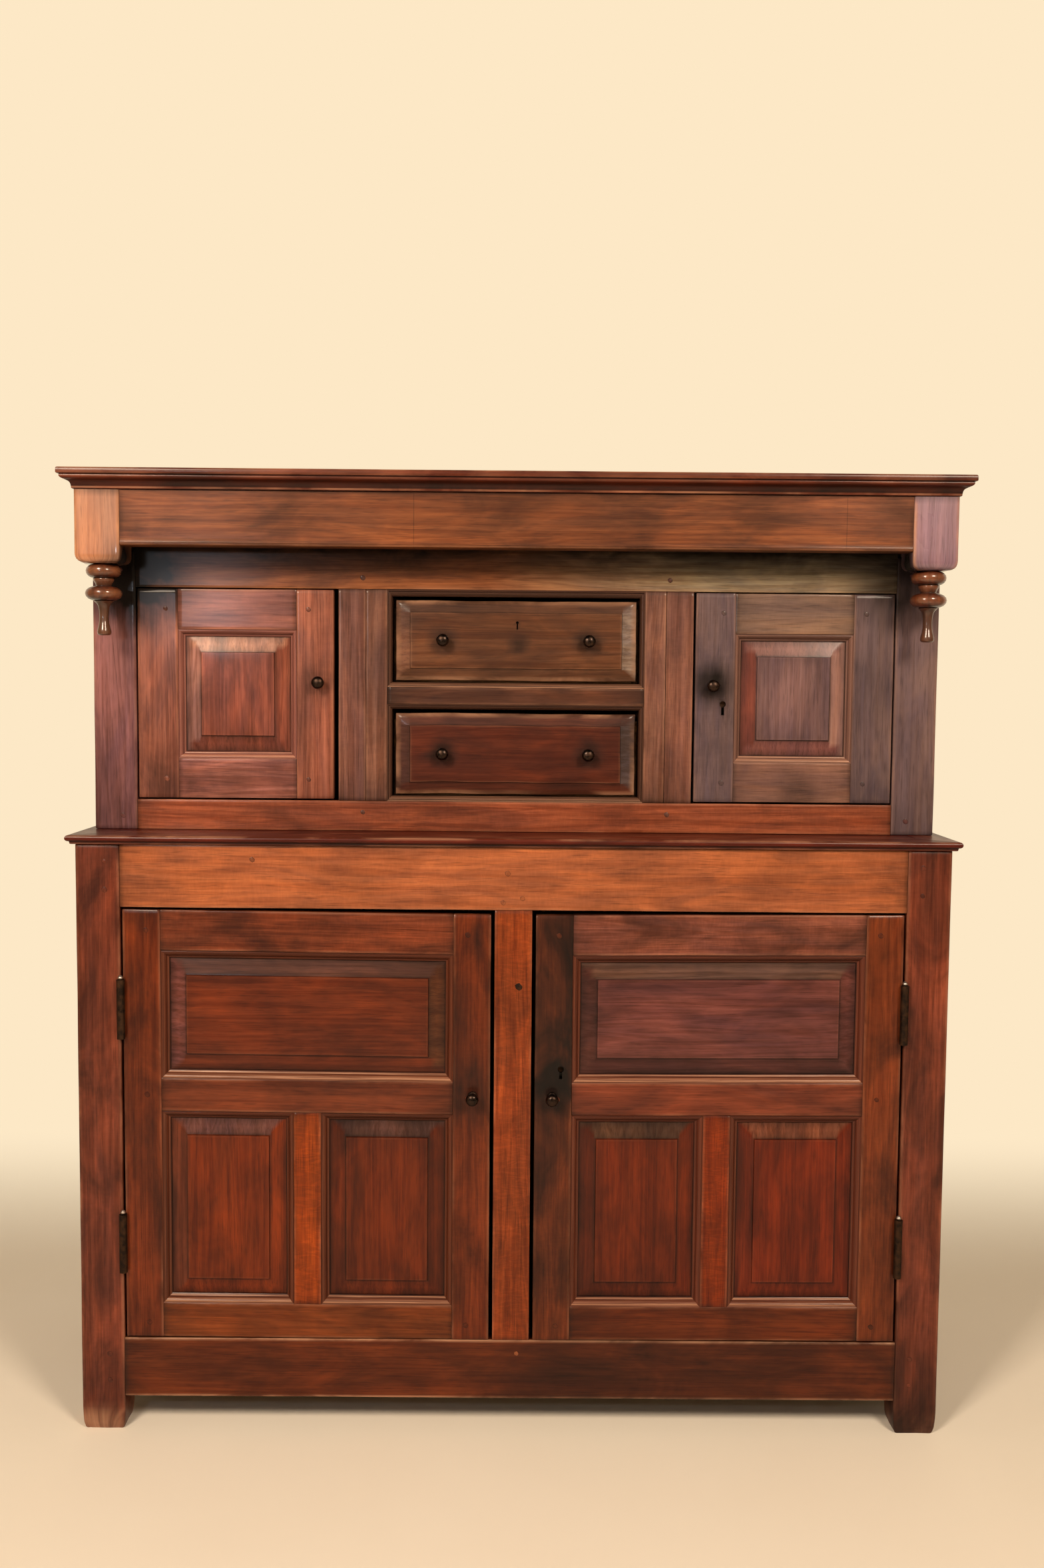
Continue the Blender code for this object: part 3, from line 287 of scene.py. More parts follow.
def spaced(start, end, count):
    """Places from start to end, in so many even steps."""
    return [start + (end - start) * i / count for i in range(count + 1)]


def ramp(value, start, end):
    """Share of the way from start to end, held at 0 and 1 beyond them."""
    return min(1.0, max(0.0, (value - start) / (end - start)))


def new_piece():
    """Empty mesh whose points carry what the oak finish reads."""
    bm = bmesh.new()
    for name, kind in LAYERS.items():
        getattr(bm.verts.layers, kind).new(name)
    return bm


def oak_point(bm, place, *carried):
    """Point with its grain, tone, wear, grime and fleck."""
    vert = bm.verts.new(place)
    for (name, kind), value in zip(LAYERS.items(), carried):
        vert[getattr(bm.verts.layers, kind)[name]] = value
    return vert


def skin(bm, rows):
    """Faces between rings of points, one ring after another. A ring of one point is a tip."""
    for near, far in zip(rows, rows[1:]):
        count = max(len(near), len(far))
        for i in range(count):
            j = (i + 1) % count
            corners = [near[i % len(near)], near[j % len(near)], far[j % len(far)], far[i % len(far)]]
            unique = list(dict.fromkeys(corners))
            if len(unique) > 2:
                bm.faces.new(unique)


# How strongly the calmer and the livelier timbers show their figure, where the others have 1
FIGURE = {"left_block": 0.5, "right_block": 0.4, "upper_post_right": 0.55, "upper_right_stile": 0.55,
          "upper_right_rail": 0.5, "upper_right_head": 0.5, "upper_right_panel": 0.6,
          "upper_left_head": 0.8, "lower_top_rail": 0.7, "lower_post_left": 1.7, "lower_post_right": 1.7,
          "lower_left_stile": 1.6, "lower_right_stile": 1.5, "lower_left_head": 1.5,
          "lower_right_head": 1.7}
TONE_SPREAD, DRY_TONE_SPREAD = 0.07, 0.17


def varied(tone):
    """The tone of one timber, a little lighter or darker than its neighbours, and its figure."""
    spread = DRY_TONE_SPREAD if tone.startswith("dry") else TONE_SPREAD
    share = shuffle.uniform(1 - spread, 1 + spread)
    return [c * share for c in linear(TONES[tone])[:3]] + [FIGURE.get(tone, 1.0)]


def new_grain():
    """Where in the tree this timber was cut, so that no two have the same grain."""
    return Vector((shuffle.uniform(0, 40), shuffle.uniform(0, 40), shuffle.uniform(0, 40)))


# Share of an arris that rounding takes off at its middle
ROUNDING = 0.29


def squared_ring(width, depth, arris, step):
    """Section of a squared timber as (p, q, wear, grime) points, with its arrises rounded."""
    reach = min(EDGE_REACH, width / 3, depth / 3)
    ways = [Vector((0, 1)), Vector((-1, 0)), Vector((0, -1)), Vector((1, 0))]
    corners = [Vector((sp * width / 2, sq * depth / 2))
               for sp, sq in ((1, 1), (-1, 1), (-1, -1), (1, -1))]
    ring = []
    for i, corner in enumerate(corners):
        inward, onward = -ways[i], ways[(i + 1) % 4]
        for offset, wear in ((inward * (arris + reach), 0.0), (inward * arris, 0.7),
                             ((inward + onward) * arris * ROUNDING, 1.0), (onward * arris, 0.7),
                             (onward * (arris + reach), 0.0)):
            ring.append((*(corner + offset), wear, 0.0))
        flat = (corners[(i + 1) % 4] - corner).length - 2 * (arris + reach)
        count = max(1, round(flat / step))
        start = corner + onward * (arris + reach)
        ring += [(*(start + onward * flat * k / count), 0.0, 0.0) for k in range(1, count)]
    return ring


# Share of a joint's dirt on its eased edge, how dirt fades from there, as (share of its reach, share
# of the dirt), and how a scuffed foot fades, as (share of its height, of the wood lost, of the wear)
EASED_DIRT = 0.75
DIRT_FADE = ((0.15, 0.3), (0.4, 0.14))
SCUFF_FADE = ((0.0, 1.0, 1.0), (0.1, 0.62, 1.0), (0.3, 0.3, 1.0), (0.6, 0.1, 0.8), (1.0, 0.0, 0.15))


def run_stations(start, end, ease, dirt, step, scuff=0.0):
    """(place, inset, grime, wear) along a timber: eased ends, dirty joints and a scuffed start."""
    length = end - start
    reach = min(DIRT_REACH, length / 3)
    count = max(1, round((length - 2 * reach) / step))
    inner = [(place, 0.0, 0.0, 0.0) for place in spaced(start + reach, end - reach, count)]
    fade = [(0.0, ease, dirt), (ease, 0.0, dirt * EASED_DIRT)]
    fade += [(away * reach, 0.0, dirt * share) for away, share in DIRT_FADE]
    near = [(start + away, inset, grime_and_shade, 0.0) for away, inset, grime_and_shade in fade]
    far = [(end - away, inset, grime_and_shade, 0.0) for away, inset, grime_and_shade in reversed(fade)]
    if scuff:
        near = [(start + away * SCUFF_HEIGHT, lost * SCUFF_LOSS, 0.0, scuff * share)
                for away, lost, share in SCUFF_FADE]
    return near + inner + far


# Waves for each metre of a planed face, and of a scuffed one across and along the timber
PLANED_WAVES = 9
SCUFF_WAVES = (60, 70)
SCUFF_ROUGHNESS = 0.5
# Rows of the noise that a timber's two faces across p, and its two across q, waver by
P_FACES, Q_FACES = (5, 2), (11, 8)


def sweep(bm, ring, stations, put, tone, mitre=(0.0, 0.0), fleck=0.0, wobble=WOBBLE, wear=1.0):
    """Solid with one section along its grain. A mitre shifts its ends by so much for each p."""
    seed = shuffle.uniform(0, 90)
    grain = new_grain()
    colour = varied(tone)
    start, end = stations[0][0], stations[-1][0]
    across_waves, along_waves = SCUFF_WAVES
    rows = []
    for place, inset, dirt, scuffed in stations:
        share = (place - start) / (end - start)
        wave = place * PLANED_WAVES
        row = []
        for p, q, worn, grime_and_shade in ring:
            along = place + p * (mitre[0] * (1 - share) + mitre[1] * share)
            rough = noise.noise((p * across_waves, q * across_waves, place * along_waves + seed))
            loss = inset * (1 + SCUFF_ROUGHNESS * rough)
            across = p - loss * (1 if p > 0 else -1)
            inward = q - loss * (1 if q > 0 else -1)
            across += wobble * noise.noise((wave, seed, P_FACES[p > 0]))
            inward += wobble * noise.noise((wave, seed, Q_FACES[q > 0]))
            row.append(oak_point(bm, put(along, across, inward), grain + Vector((along, p, q)), colour,
                                 max(worn * wear, scuffed), max(grime_and_shade, dirt), fleck))
        rows.append(row)
    skin(bm, rows)
    bm.faces.new(rows[0])
    bm.faces.new(rows[-1])


# For each grain axis, the axes that a section's p and q run along
SECTION_AXES = {0: (2, 1), 1: (2, 0), 2: (0, 1)}
# How far a timber's ends are eased, as a share of its arris
END_EASE = 0.5


def timber(bm, x, y, z, axis, tone, arris=1.2 * MM, dirt=0.85, fleck=0.0, wear=0.2, scuff=0.0,
           step=STATION_STEP):
    """Squared timber that fills the given spans, with its grain along one axis."""
    spans = (x, y, z)
    p_axis, q_axis = SECTION_AXES[axis]
    centres = [sum(pair) / 2 for pair in spans]

    def put(along, p, q):
        point = [0.0, 0.0, 0.0]
        point[axis] = along
        point[p_axis] = centres[p_axis] + p
        point[q_axis] = centres[q_axis] + q
        return point

    width = spans[p_axis][1] - spans[p_axis][0]
    depth = spans[q_axis][1] - spans[q_axis][0]
    ring = squared_ring(width, depth, arris, step)
    stations = run_stations(*spans[axis], arris * END_EASE, dirt, step, scuff)
    sweep(bm, ring, stations, put, tone, fleck=fleck, wear=wear)


def profile_at(profile, inset):
    """(depth, wear, grime) of a board's (inset, depth, wear, grime) profile at one inset."""
    for (a, *near), (b, *far) in zip(profile, profile[1:]):
        if inset <= b + 1e-9:
            share = (inset - a) / (b - a)
            return [n + (f - n) * share for n, f in zip(near, far)]
    return profile[-1][1:]


def grid_lines(pair, insets, step):
    """Places across a board: its profile's lines from both edges, and even ones between."""
    low = [pair[0] + inset for inset in insets]
    high = [pair[1] - inset for inset in reversed(insets)]
    count = max(1, round((high[0] - low[-1]) / step))
    return low + spaced(low[-1], high[0], count)[1:-1] + high


# Dust, wax and rubbing on the slopes of fielded boards, as (colour, share) for the left, right,
# bottom and top slope, by the board's tone. The pale and grey tints also paint sheen on the
# slopes, and the dark ones paint shade.
SLOPE_DUST_SHEEN_AND_SHADE = {
    "side": (("#5a4640", 0.2), ("#5a4640", 0.1), None, ("#5a4640", 0.45)),
    "lower_left_wide_panel": (("#7c555a", 0.7), ("#4c422f", 0.5), None, ("#584d4c", 0.6)),
    "lower_left_outer_panel": (("#5a4640", 0.4), None, None, ("#675861", 0.7)),
    "lower_left_inner_panel": (None, ("#3c1c14", 0.3), None, ("#4d474c", 0.7)),
    "lower_right_wide_panel": (("#3c241e", 0.65), ("#3c241e", 0.3), ("#2a0c04", 0.55), ("#62594f", 0.6)),
    "lower_right_inner_panel": (("#3c241e", 0.4), None, ("#2e1008", 0.3), ("#4c4c44", 0.7)),
    "lower_right_outer_panel": (("#3c241e", 0.15), None, ("#2e1008", 0.2), ("#805e4f", 0.7)),
    "upper_left_panel": (("#a8929c", 0.6), ("#9a6048", 0.2), ("#4a2014", 0.4), ("#d8bcae", 0.42)),
    "upper_right_panel": (("#743418", 0.7), ("#bc9c98", 0.65), ("#8c4430", 0.4), ("#8c5c54", 0.5)),
    "top_drawer": (("#8a6858", 0.5), ("#8f8e92", 0.8), None, ("#5a4640", 0.1)),
    "bottom_drawer": (("#4a3c3a", 0.5), ("#605f66", 0.75), None, ("#5a4640", 0.2)),
}
BOARD_WAVES = 7
BOARD_BACK_DIRT = 0.3
# How far in from its edges a board starts to waver in full
BOARD_STILL_EDGE = 0.03


def tinted(colour, tint):
    """A tone part of the way to a tint."""
    if not tint:
        return colour
    goal, share = tint
    return [c + (d - c) * share for c, d in zip(colour, linear(goal)[:3])] + [colour[3]]


def fielded_board(bm, u, v, profile, slope, thickness, put, tone, upright, v_share=1.0, step=0.04):
    """Board whose face sinks towards its edges by a profile, with mitred slopes at its corners."""
    seed = shuffle.uniform(0, 90)
    grain = new_grain()
    colour = varied(tone)
    insets = [row[0] for row in profile]
    us = grid_lines(u, insets, step)
    vs = grid_lines(v, [inset * v_share for inset in insets], step)

    def edge_insets(a, b):
        return (a - u[0], u[1] - a, (b - v[0]) / v_share, (v[1] - b) / v_share)

    def edge_inset(a, b):
        return max(0.0, min(edge_insets(a, b)))

    def point(a, b, depth, wear, grime_and_shade):
        way = Vector((b, a, depth)) if upright else Vector((a, b, depth))
        insets_here = edge_insets(a, b)
        nearest = min(insets_here)
        sloped = nearest < slope and depth < thickness
        # Slopes take tints: dust with painted sheen where pale or grey, painted shade where dark
        tint = SLOPE_DUST_SHEEN_AND_SHADE[tone][insets_here.index(nearest)] if sloped else None
        return oak_point(bm, put(a, b, depth), grain + way, tinted(colour, tint), wear, grime_and_shade, 0.0)

    grid = []
    for a in us:
        column = []
        for b in vs:
            inset = edge_inset(a, b)
            depth, wear, grime_and_shade = profile_at(profile, inset)
            wave = noise.noise((a * BOARD_WAVES, b * BOARD_WAVES, seed))
            wave *= WOBBLE * min(1, inset / BOARD_STILL_EDGE)
            column.append(point(a, b, depth + wave, wear, grime_and_shade))
        grid.append(column)
    for i in range(len(us) - 1):
        for j in range(len(vs) - 1):
            corners = [(i, j), (i + 1, j), (i + 1, j + 1), (i, j + 1)]
            heights = [round(edge_inset(us[a], vs[b]), 6) for a, b in corners]
            verts = [grid[a][b] for a, b in corners]
            top = heights.index(max(heights))
            if sorted(heights)[-2] < max(heights):
                verts = verts[top:] + verts[:top]
                bm.faces.new(verts[:3])
                bm.faces.new((verts[0], verts[2], verts[3]))
            else:
                bm.faces.new(verts)
    close_board(bm, grid, point, us, vs, thickness)


def close_board(bm, grid, point, us, vs, thickness):
    """Edges and flat back of a fielded board."""
    across, up = len(us) - 1, len(vs) - 1
    border = [(i, 0) for i in range(across)] + [(across, j) for j in range(up)]
    border += [(i, up) for i in range(across, 0, -1)] + [(0, j) for j in range(up, 0, -1)]
    back = [point(us[i], vs[j], thickness, 0.0, BOARD_BACK_DIRT) for i, j in border]
    skin(bm, [[grid[i][j] for i, j in border], back])
    bm.faces.new(back)


# Waves round, along and across a piece that came uneven off the lathe or the anvil
FACET_WAVES = (2, 40, 60)


def turn(bm, profile, steps, put, tone, facets=0.0):
    """Turned solid from (radius, height, wear, grime) points that start and end on its axis."""
    grain = new_grain()
    colour = varied(tone)
    rows = []
    for radius, height, wear, grime_and_shade in profile:
        row = []
        for i in range(steps if radius else 1):
            angle = 2 * pi * i / steps
            uneven = noise.noise([a * b for a, b in zip((angle, height, radius), FACET_WAVES)])
            r = radius * (1 + facets * uneven)
            p, q = r * cos(angle), r * sin(angle)
            row.append(oak_point(bm, put(height, p, q), grain + Vector((height, p, q)), colour, wear,
                                 grime_and_shade, 0.0))
        rows.append(row)
    skin(bm, rows)


def bare_outline(outline, radius_unit, height_unit):
    """Outline of a small turned piece, without wear or grime of its own."""
    return [(radius * radius_unit, height * height_unit, 0.0, 0.0) for radius, height in outline]


# A stain is full round its middle and fades from there, at this many times an even fade
STAIN_FADE = 1.6


def stain_and_shade(bm, place, radius, amount):
    """Darken the wood round a place: hand dirt, and at the drops and blocks painted shade."""
    grime_and_shade = bm.verts.layers.float["grime_and_shade"]
    for vert in bm.verts:
        share = 1 - (vert.co - Vector(place)).length / radius
        if share > 0:
            vert[grime_and_shade] = max(vert[grime_and_shade], amount * min(1.0, share * STAIN_FADE))


def finish_piece(bm, name, nodes=(), body="case", material=WAXED_OAK, settle=None):
    """Make the gathered mesh one piece of the cupboard that moves with a body."""
    if settle:
        for vert in bm.verts:
            vert.co.z += settle(vert.co.x, vert.co.z)
    bmesh.ops.recalc_face_normals(bm, faces=bm.faces)
    mesh = bpy.data.meshes.new(name)
    bm.to_mesh(mesh)
    bm.free()
    mesh.shade_smooth()
    mesh.set_sharp_from_angle(angle=SMOOTH_ANGLE)
    mesh.materials.append(material)
    item = bpy.data.objects.new(name, mesh)
    bpy.context.scene.collection.objects.link(item)
    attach(item, body)
    if nodes:
        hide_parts(*nodes)
    return item


def face_front(front):
    """Places on a face towards -Y, from across, up and depth."""
    return lambda u, v, depth: (u, front + depth, v)


def face_side(side, half):
    """Places on the outer face of the left (-1) or right (1) side."""
    return lambda u, v, depth: (side * (half - depth), u, v)


# Stuck moulding round a panel, from the panel's edge out to the flat of the frame, as
# (share of its width, share of its depth, wear, grime)
OVOLO = [(0.0, 1.08, 0.0, 1.0), (0.0, 0.95, 0.0, 0.9), (0.06, 0.90, 0.1, 0.5), (0.16, 0.80, 0.8, 0.0),
         (0.26, 0.78, 0.6, 0.1), (0.32, 0.66, 0.0, 0.5), (0.40, 0.48, 0.2, 0.15), (0.54, 0.26, 0.5, 0.0),
         (0.70, 0.13, 0.7, 0.0), (0.84, 0.08, 0.6, 0.0), (0.90, 0.11, 0.0, 0.6), (0.95, 0.01, 0.4, 0.1),
         (1.0, 0.0, 0.05, 0.0)]
# (wear, dirt) of a moulding along its bottom, top, left and right: a duster leans on the bottom
# one, whose pale wear is partly a painted highlight; the dirt on the top and sides is painted shade
MOULDING_WEAR_HIGHLIGHT_AND_SHADE = ((0.9, 0.0), (0.0, 0.45), (0.1, 0.25), (0.04, 0.2))


def moulding(bm, u, v, put, widths, depth, tone, back, profile=OVOLO):
    """Four mitred lengths round an opening, and the wood behind them. Widths: left, right, bottom, top."""
    left, right, bottom, top = widths
    ring = [(share, level * depth, wear, grime_and_shade) for share, level, wear, grime_and_shade in profile]
    ring.append((1.0, profile[0][1] * depth, 0.0, 0.0))
    low, high = back
    behind = [(share, level, 0.2, 0.2)
              for share, level in ((0.0, low), (0.0, high), (1.0, high), (1.0, low))]
    lengths = [(u, (-left, right), lambda a, p, q: put(a, v[0] - p * bottom, q)),
               (u, (-left, right), lambda a, p, q: put(a, v[1] + p * top, q)),
               (v, (-bottom, top), lambda a, p, q: put(u[0] - p * left, a, q)),
               (v, (-bottom, top), lambda a, p, q: put(u[1] + p * right, a, q))]
    # Wear on the bottom is partly painted highlight, dirt on the top and sides is painted shade
    for ((start, end), mitre, length_put), (worn, dirt) in zip(lengths, MOULDING_WEAR_HIGHLIGHT_AND_SHADE):
        count = max(2, round((end - start) / STATION_STEP))
        stations = [(place, 0.0, dirt, 0.0) for place in spaced(start, end, count)]
        for section in (ring, behind):
            sweep(bm, section, stations, length_put, tone, mitre=mitre, wobble=0.0, wear=worn)


PANEL_EDGE = 11.6 * MM
PANEL_BACK = 15.3 * MM
PANEL_TONGUE = 7.7 * MM
FIELD_DEPTH = 3.0 * MM
FIELD_RISE = 3.2 * MM
MOULDING_DEPTH = 10.2 * MM
GROOVE_END = 15.6 * MM


def panel_profile(sight, bevel):
    """Raised and fielded panel from its hidden tongue, over the slope, to the field."""
    end = sight + bevel
    foot = FIELD_DEPTH + FIELD_RISE
    # Darkening at the sight edge, at the foot of the slope and round the field is dirt and painted shade
    return [(0.0, PANEL_EDGE, 0.0, 1.0), (sight - 0.4 * MM, PANEL_EDGE, 0.0, 1.0),
            (sight + 2.5 * MM, PANEL_EDGE - 0.6 * MM, 0.0, 0.5),
            (sight + bevel * 0.5, (PANEL_EDGE + foot) / 2, 0.0, 0.05),
            (end - 4.0 * MM, foot + 0.9 * MM, 0.0, 0.25), (end - 1.2 * MM, foot + 0.3 * MM, 0.0, 0.6),
            (end, foot, 0.0, 0.8), (end + 0.9 * MM, FIELD_DEPTH + 0.1 * MM, 0.05, 0.2),
            (end + 4.0 * MM, FIELD_DEPTH, 0.0, 0.25), (end + 16 * MM, FIELD_DEPTH, 0.0, 0.15),
            (end + 40 * MM, FIELD_DEPTH, 0.0, 0.0)]


def sunk_panel(bm, u, v, put, bevel, tone, upright):
    """Panel with sight size u by v, its tongue hidden in the groove of its frame."""
    fielded_board(bm, grow(u, PANEL_TONGUE), grow(v, PANEL_TONGUE), panel_profile(PANEL_TONGUE, bevel),
                  PANEL_TONGUE + bevel - 0.2 * MM, PANEL_BACK, put, tone, upright)


def carcass_timber(node, x, y, z, axis, slot="oak_dark", stains=(), **wood):
    """One timber of the case in place of its CAD node."""
    bm = new_piece()
    timber(bm, x, y, z, axis, node, **wood)
    for spot in stains:
        stain_and_shade(bm, *spot)
    return finish_piece(bm, node + "_timber", [node])


# How far each front foot is scuffed pale, and how soiled it is above that
FOOT_WEAR = {"left": (0.9, 0.0), "right": (0.3, 0.6)}
FOOT_SOIL_X, FOOT_SOIL_Z, FOOT_SOIL_REACH = 0.665, 0.040, 0.13
# Dirt along the bottom rail, as (x, reach, amount)
BOTTOM_RAIL_DIRT = [(0.02, 0.16, 0.4), (0.15, 0.20, 0.75), (0.32, 0.20, 0.5), (0.48, 0.20, 0.45)]
BOTTOM_RAIL_MIDDLE = 0.106
LOWER_MUNTIN = 0.060


def lower_frame():
    """Front posts, rails and centre muntin of the lower case."""
    y = (FRONT, FRONT + RAIL_THICKNESS)
    x = grow((-LOWER_POST_INNER, LOWER_POST_INNER), -SEAT)
    top = LOWER_HEIGHT - SEAT
    carcass_timber("lower_top_rail", x, y, (LOWER_HEAD, top), 0, "oak_warm", fleck=0.14)
    mop_dirt = [((along, FRONT, BOTTOM_RAIL_MIDDLE), reach, amount)
                for along, reach, amount in BOTTOM_RAIL_DIRT]
    carcass_timber("lower_bottom_rail", x, y, (FOOT_HEIGHT, LOWER_SILL), 0, "oak_warm", mop_dirt,
                   wear=0.8, step=0.03)
    muntin = carcass_timber("lower_muntin", middle(0, LOWER_MUNTIN), y,
                            grow((LOWER_SILL, LOWER_HEAD), -SEAT), 2, "oak_warm", fleck=0.4)
    bolt_way(muntin, "lower_lock_bolt")
    for name, side in SIDES.items():
        scuff, soiled = FOOT_WEAR[name]
        foot = ((side * FOOT_SOIL_X, FRONT, FOOT_SOIL_Z), FOOT_SOIL_REACH, soiled)
        carcass_timber(f"lower_post_{name}", span(side * LOWER_POST_INNER, side * LOWER_HALF),
                       (FRONT, FRONT + POST_DEPTH), (0.0, top), 2, stains=[foot], arris=2.2 * MM,
                       dirt=0.0, fleck=0.1, scuff=scuff, step=0.025)


SIDE_STILE = 0.075
SIDE_THICKNESS = 0.024
SIDE_SETBACK = 0.002
SIDE_MOULDING = 0.012
SIDE_BEVEL = 0.025
CANOPY_ARM = 0.044
ARM_FRONT = FRONT + 0.0713


def panelled_side(bm, side, half, y_front, levels, rear_post_z):
    """Rear post, front stile, rails and panels of one side. Levels are the rails' Z spans."""
    x = span(side * (half - SIDE_SETBACK - SIDE_THICKNESS), side * (half - SIDE_SETBACK))
    post_x = span(side * (half - REAR_POST), side * half)
    rear = BACK - REAR_POST
    timber(bm, post_x, (rear, BACK), rear_post_z, 2, "side", arris=2 * MM)
    stile_end = y_front + SIDE_STILE
    timber(bm, x, (y_front, stile_end), (levels[0][0], levels[-1][1]), 2, "side")
    put = face_side(side, half - SIDE_SETBACK)
    for z in levels:
        timber(bm, x, (stile_end, rear), z, 1, "side")
    for low, high in zip(levels, levels[1:]):
        sight_y = grow((stile_end, rear), -SIDE_MOULDING)
        sight_z = grow((low[1], high[0]), -SIDE_MOULDING)
        moulding(bm, sight_y, sight_z, put, (SIDE_MOULDING,) * 4, MOULDING_DEPTH, "side",
                 (GROOVE_END, SIDE_THICKNESS))
        tall = sight_z[1] - sight_z[0] > sight_y[1] - sight_y[0]
        sunk_panel(bm, sight_y, sight_z, put, SIDE_BEVEL, "side", tall)


def case_sides():
    """Both sides of both stages, the upper ones with the arms that carry the canopy."""
    lower_top, upper_foot = LOWER_HEIGHT - SEAT, LEDGE_TOP + SEAT
    stages = {"lower": (LOWER_HALF, FRONT, (0.0, lower_top),
                        [(FOOT_HEIGHT, LOWER_SILL), MIDDLE_RAIL, (LOWER_HEAD, lower_top)]),
              "upper": (UPPER_HALF, UPPER_FRONT, (upper_foot, FRIEZE_BOTTOM),
                        [(upper_foot, UPPER_SILL), (UPPER_HEAD, FRIEZE_BOTTOM)])}
    for name, side in SIDES.items():
        for stage, (half, front, post_z, levels) in stages.items():
            bm = new_piece()
            panelled_side(bm, side, half, front + POST_DEPTH + SEAT, levels, post_z)
            if stage == "upper":
                timber(bm, span(side * (half - CANOPY_ARM), side * half), (ARM_FRONT, BACK),
                       (FRIEZE_BOTTOM, CANOPY_TOP - SEAT), 1, "canopy_arm")
            node = f"{stage}_side_{name}"
            finish_piece(bm, node + "_joinery", [node])


# Loose tongues in the joints between boards, how uneven the back boards are, and the nails in
# them: their distance from a board's ends and edges, and how far they stray
TONGUE_WIDTH = 6 * MM
TONGUE_INSET = 1 * MM
BOARD_UNEVEN = 0.18
NAIL_END, NAIL_EDGE, NAIL_STRAY = 0.030, 0.032, 0.006


def boards(bm, spans, axis, split, edges, tone, gap, dirt, tongue):
    """Boards side by side with narrow shrinkage gaps, and thin loose tongues in these."""
    thin = 3 - axis - split
    for near, far in zip(edges, edges[1:]):
        board = list(spans)
        board[split] = grow((near, far), -gap)
        timber(bm, *board, axis, tone, dirt=dirt, wear=0.3)
    for edge in edges[1:-1]:
        strip = list(spans)
        strip[axis] = grow(spans[axis], -TONGUE_INSET)
        strip[split] = middle(edge, TONGUE_WIDTH)
        strip[thin] = middle(sum(spans[thin]) / 2, tongue)
        timber(bm, *strip, axis, tone, arris=0.3 * MM)


def long_boards(bm, x, y, z, count, tone):
    """Boards that run from side to side, one behind the other."""
    boards(bm, (x, y, z), 0, 1, spaced(*y, count), tone, gap=0.5 * MM, dirt=0.4, tongue=3 * MM)


def back_boards(node, half, z, count):
    """Upright boards of uneven width, with two nails through each at its head, waist and foot."""
    bm = new_piece()
    edge = half - REAR_POST - SEAT
    shifts = [0, *(shuffle.uniform(-BOARD_UNEVEN, BOARD_UNEVEN) for _ in range(count - 1)), 0]
    edges = [-edge + 2 * edge * (i + shift) / count for i, shift in enumerate(shifts)]
    boards(bm, ((-edge, edge), (BACK - BACK_THICKNESS, BACK), z), 2, 0, edges, "dry_board",
           gap=0.7 * MM, dirt=0.5, tongue=4 * MM)
    finish_piece(bm, node + "_boards", [node], material=DRY_OAK)
    bm = new_piece()
    for near, far in zip(edges, edges[1:]):
        for height in (z[0] + NAIL_END, sum(z) / 2, z[1] - NAIL_END):
            places = [(x, height + shuffle.uniform(-NAIL_STRAY, NAIL_STRAY))
                      for x in grow((near, far), -NAIL_EDGE)]
            nails(bm, places, lambda u, v, h: (u, BACK + h, v))
    finish_piece(bm, node + "_nails", material=FORGED_IRON)


FLOOR_Z = (0.133, 0.149)
WELL_OUTER = 0.220
WELL_TOP = 1.3915
DUST_BOARD = 0.012


def insides():
    """Backs, floor and drawer well, left dry and rough."""
    back_boards("lower_back", LOWER_HALF, (FOOT_HEIGHT, LOWER_HEIGHT - SEAT), 7)
    back_boards("upper_back", UPPER_HALF, (LEDGE_TOP + SEAT, CANOPY_TOP - SEAT), 6)
    bm = new_piece()
    wide = LOWER_HALF - SIDE_SETBACK - SIDE_THICKNESS - SEAT
    lines = (FRONT + RAIL_THICKNESS + SEAT, FRONT + POST_DEPTH + SEAT, BACK - REAR_POST - SEAT,
             BACK - BACK_THICKNESS - SEAT)
    halves = (LOWER_POST_INNER - SEAT, wide, LOWER_HALF - REAR_POST - SEAT)
    for half, near, far, count in zip(halves, lines, lines[1:], (1, 2, 1)):
        long_boards(bm, (-half, half), (near, far), FLOOR_Z, count, "dry_inside")
    finish_piece(bm, "lower_floor_boards", ["lower_floor"], material=DRY_OAK)
    bm = new_piece()
    y = (UPPER_FRONT + RAIL_THICKNESS + SEAT, BACK - BACK_THICKNESS - SEAT)
    for side in SIDES.values():
        timber(bm, span(side * DRAWER_HALF, side * WELL_OUTER), y, (LEDGE_TOP + SEAT, WELL_TOP), 1,
               "dry_inside")
    for top in (DRAWER_SILL, DRAWER_RAIL_TOP, WELL_TOP):
        long_boards(bm, (-DRAWER_HALF, DRAWER_HALF), y, (top - DUST_BOARD, top), 3, "dry_inside")
    finish_piece(bm, "drawer_well_boards", ["drawer_well"], material=DRY_OAK)


# Lengths that a moulding round the case is divided in, along the front and each side
FRONT_LENGTHS, SIDE_LENGTHS = 20, 8


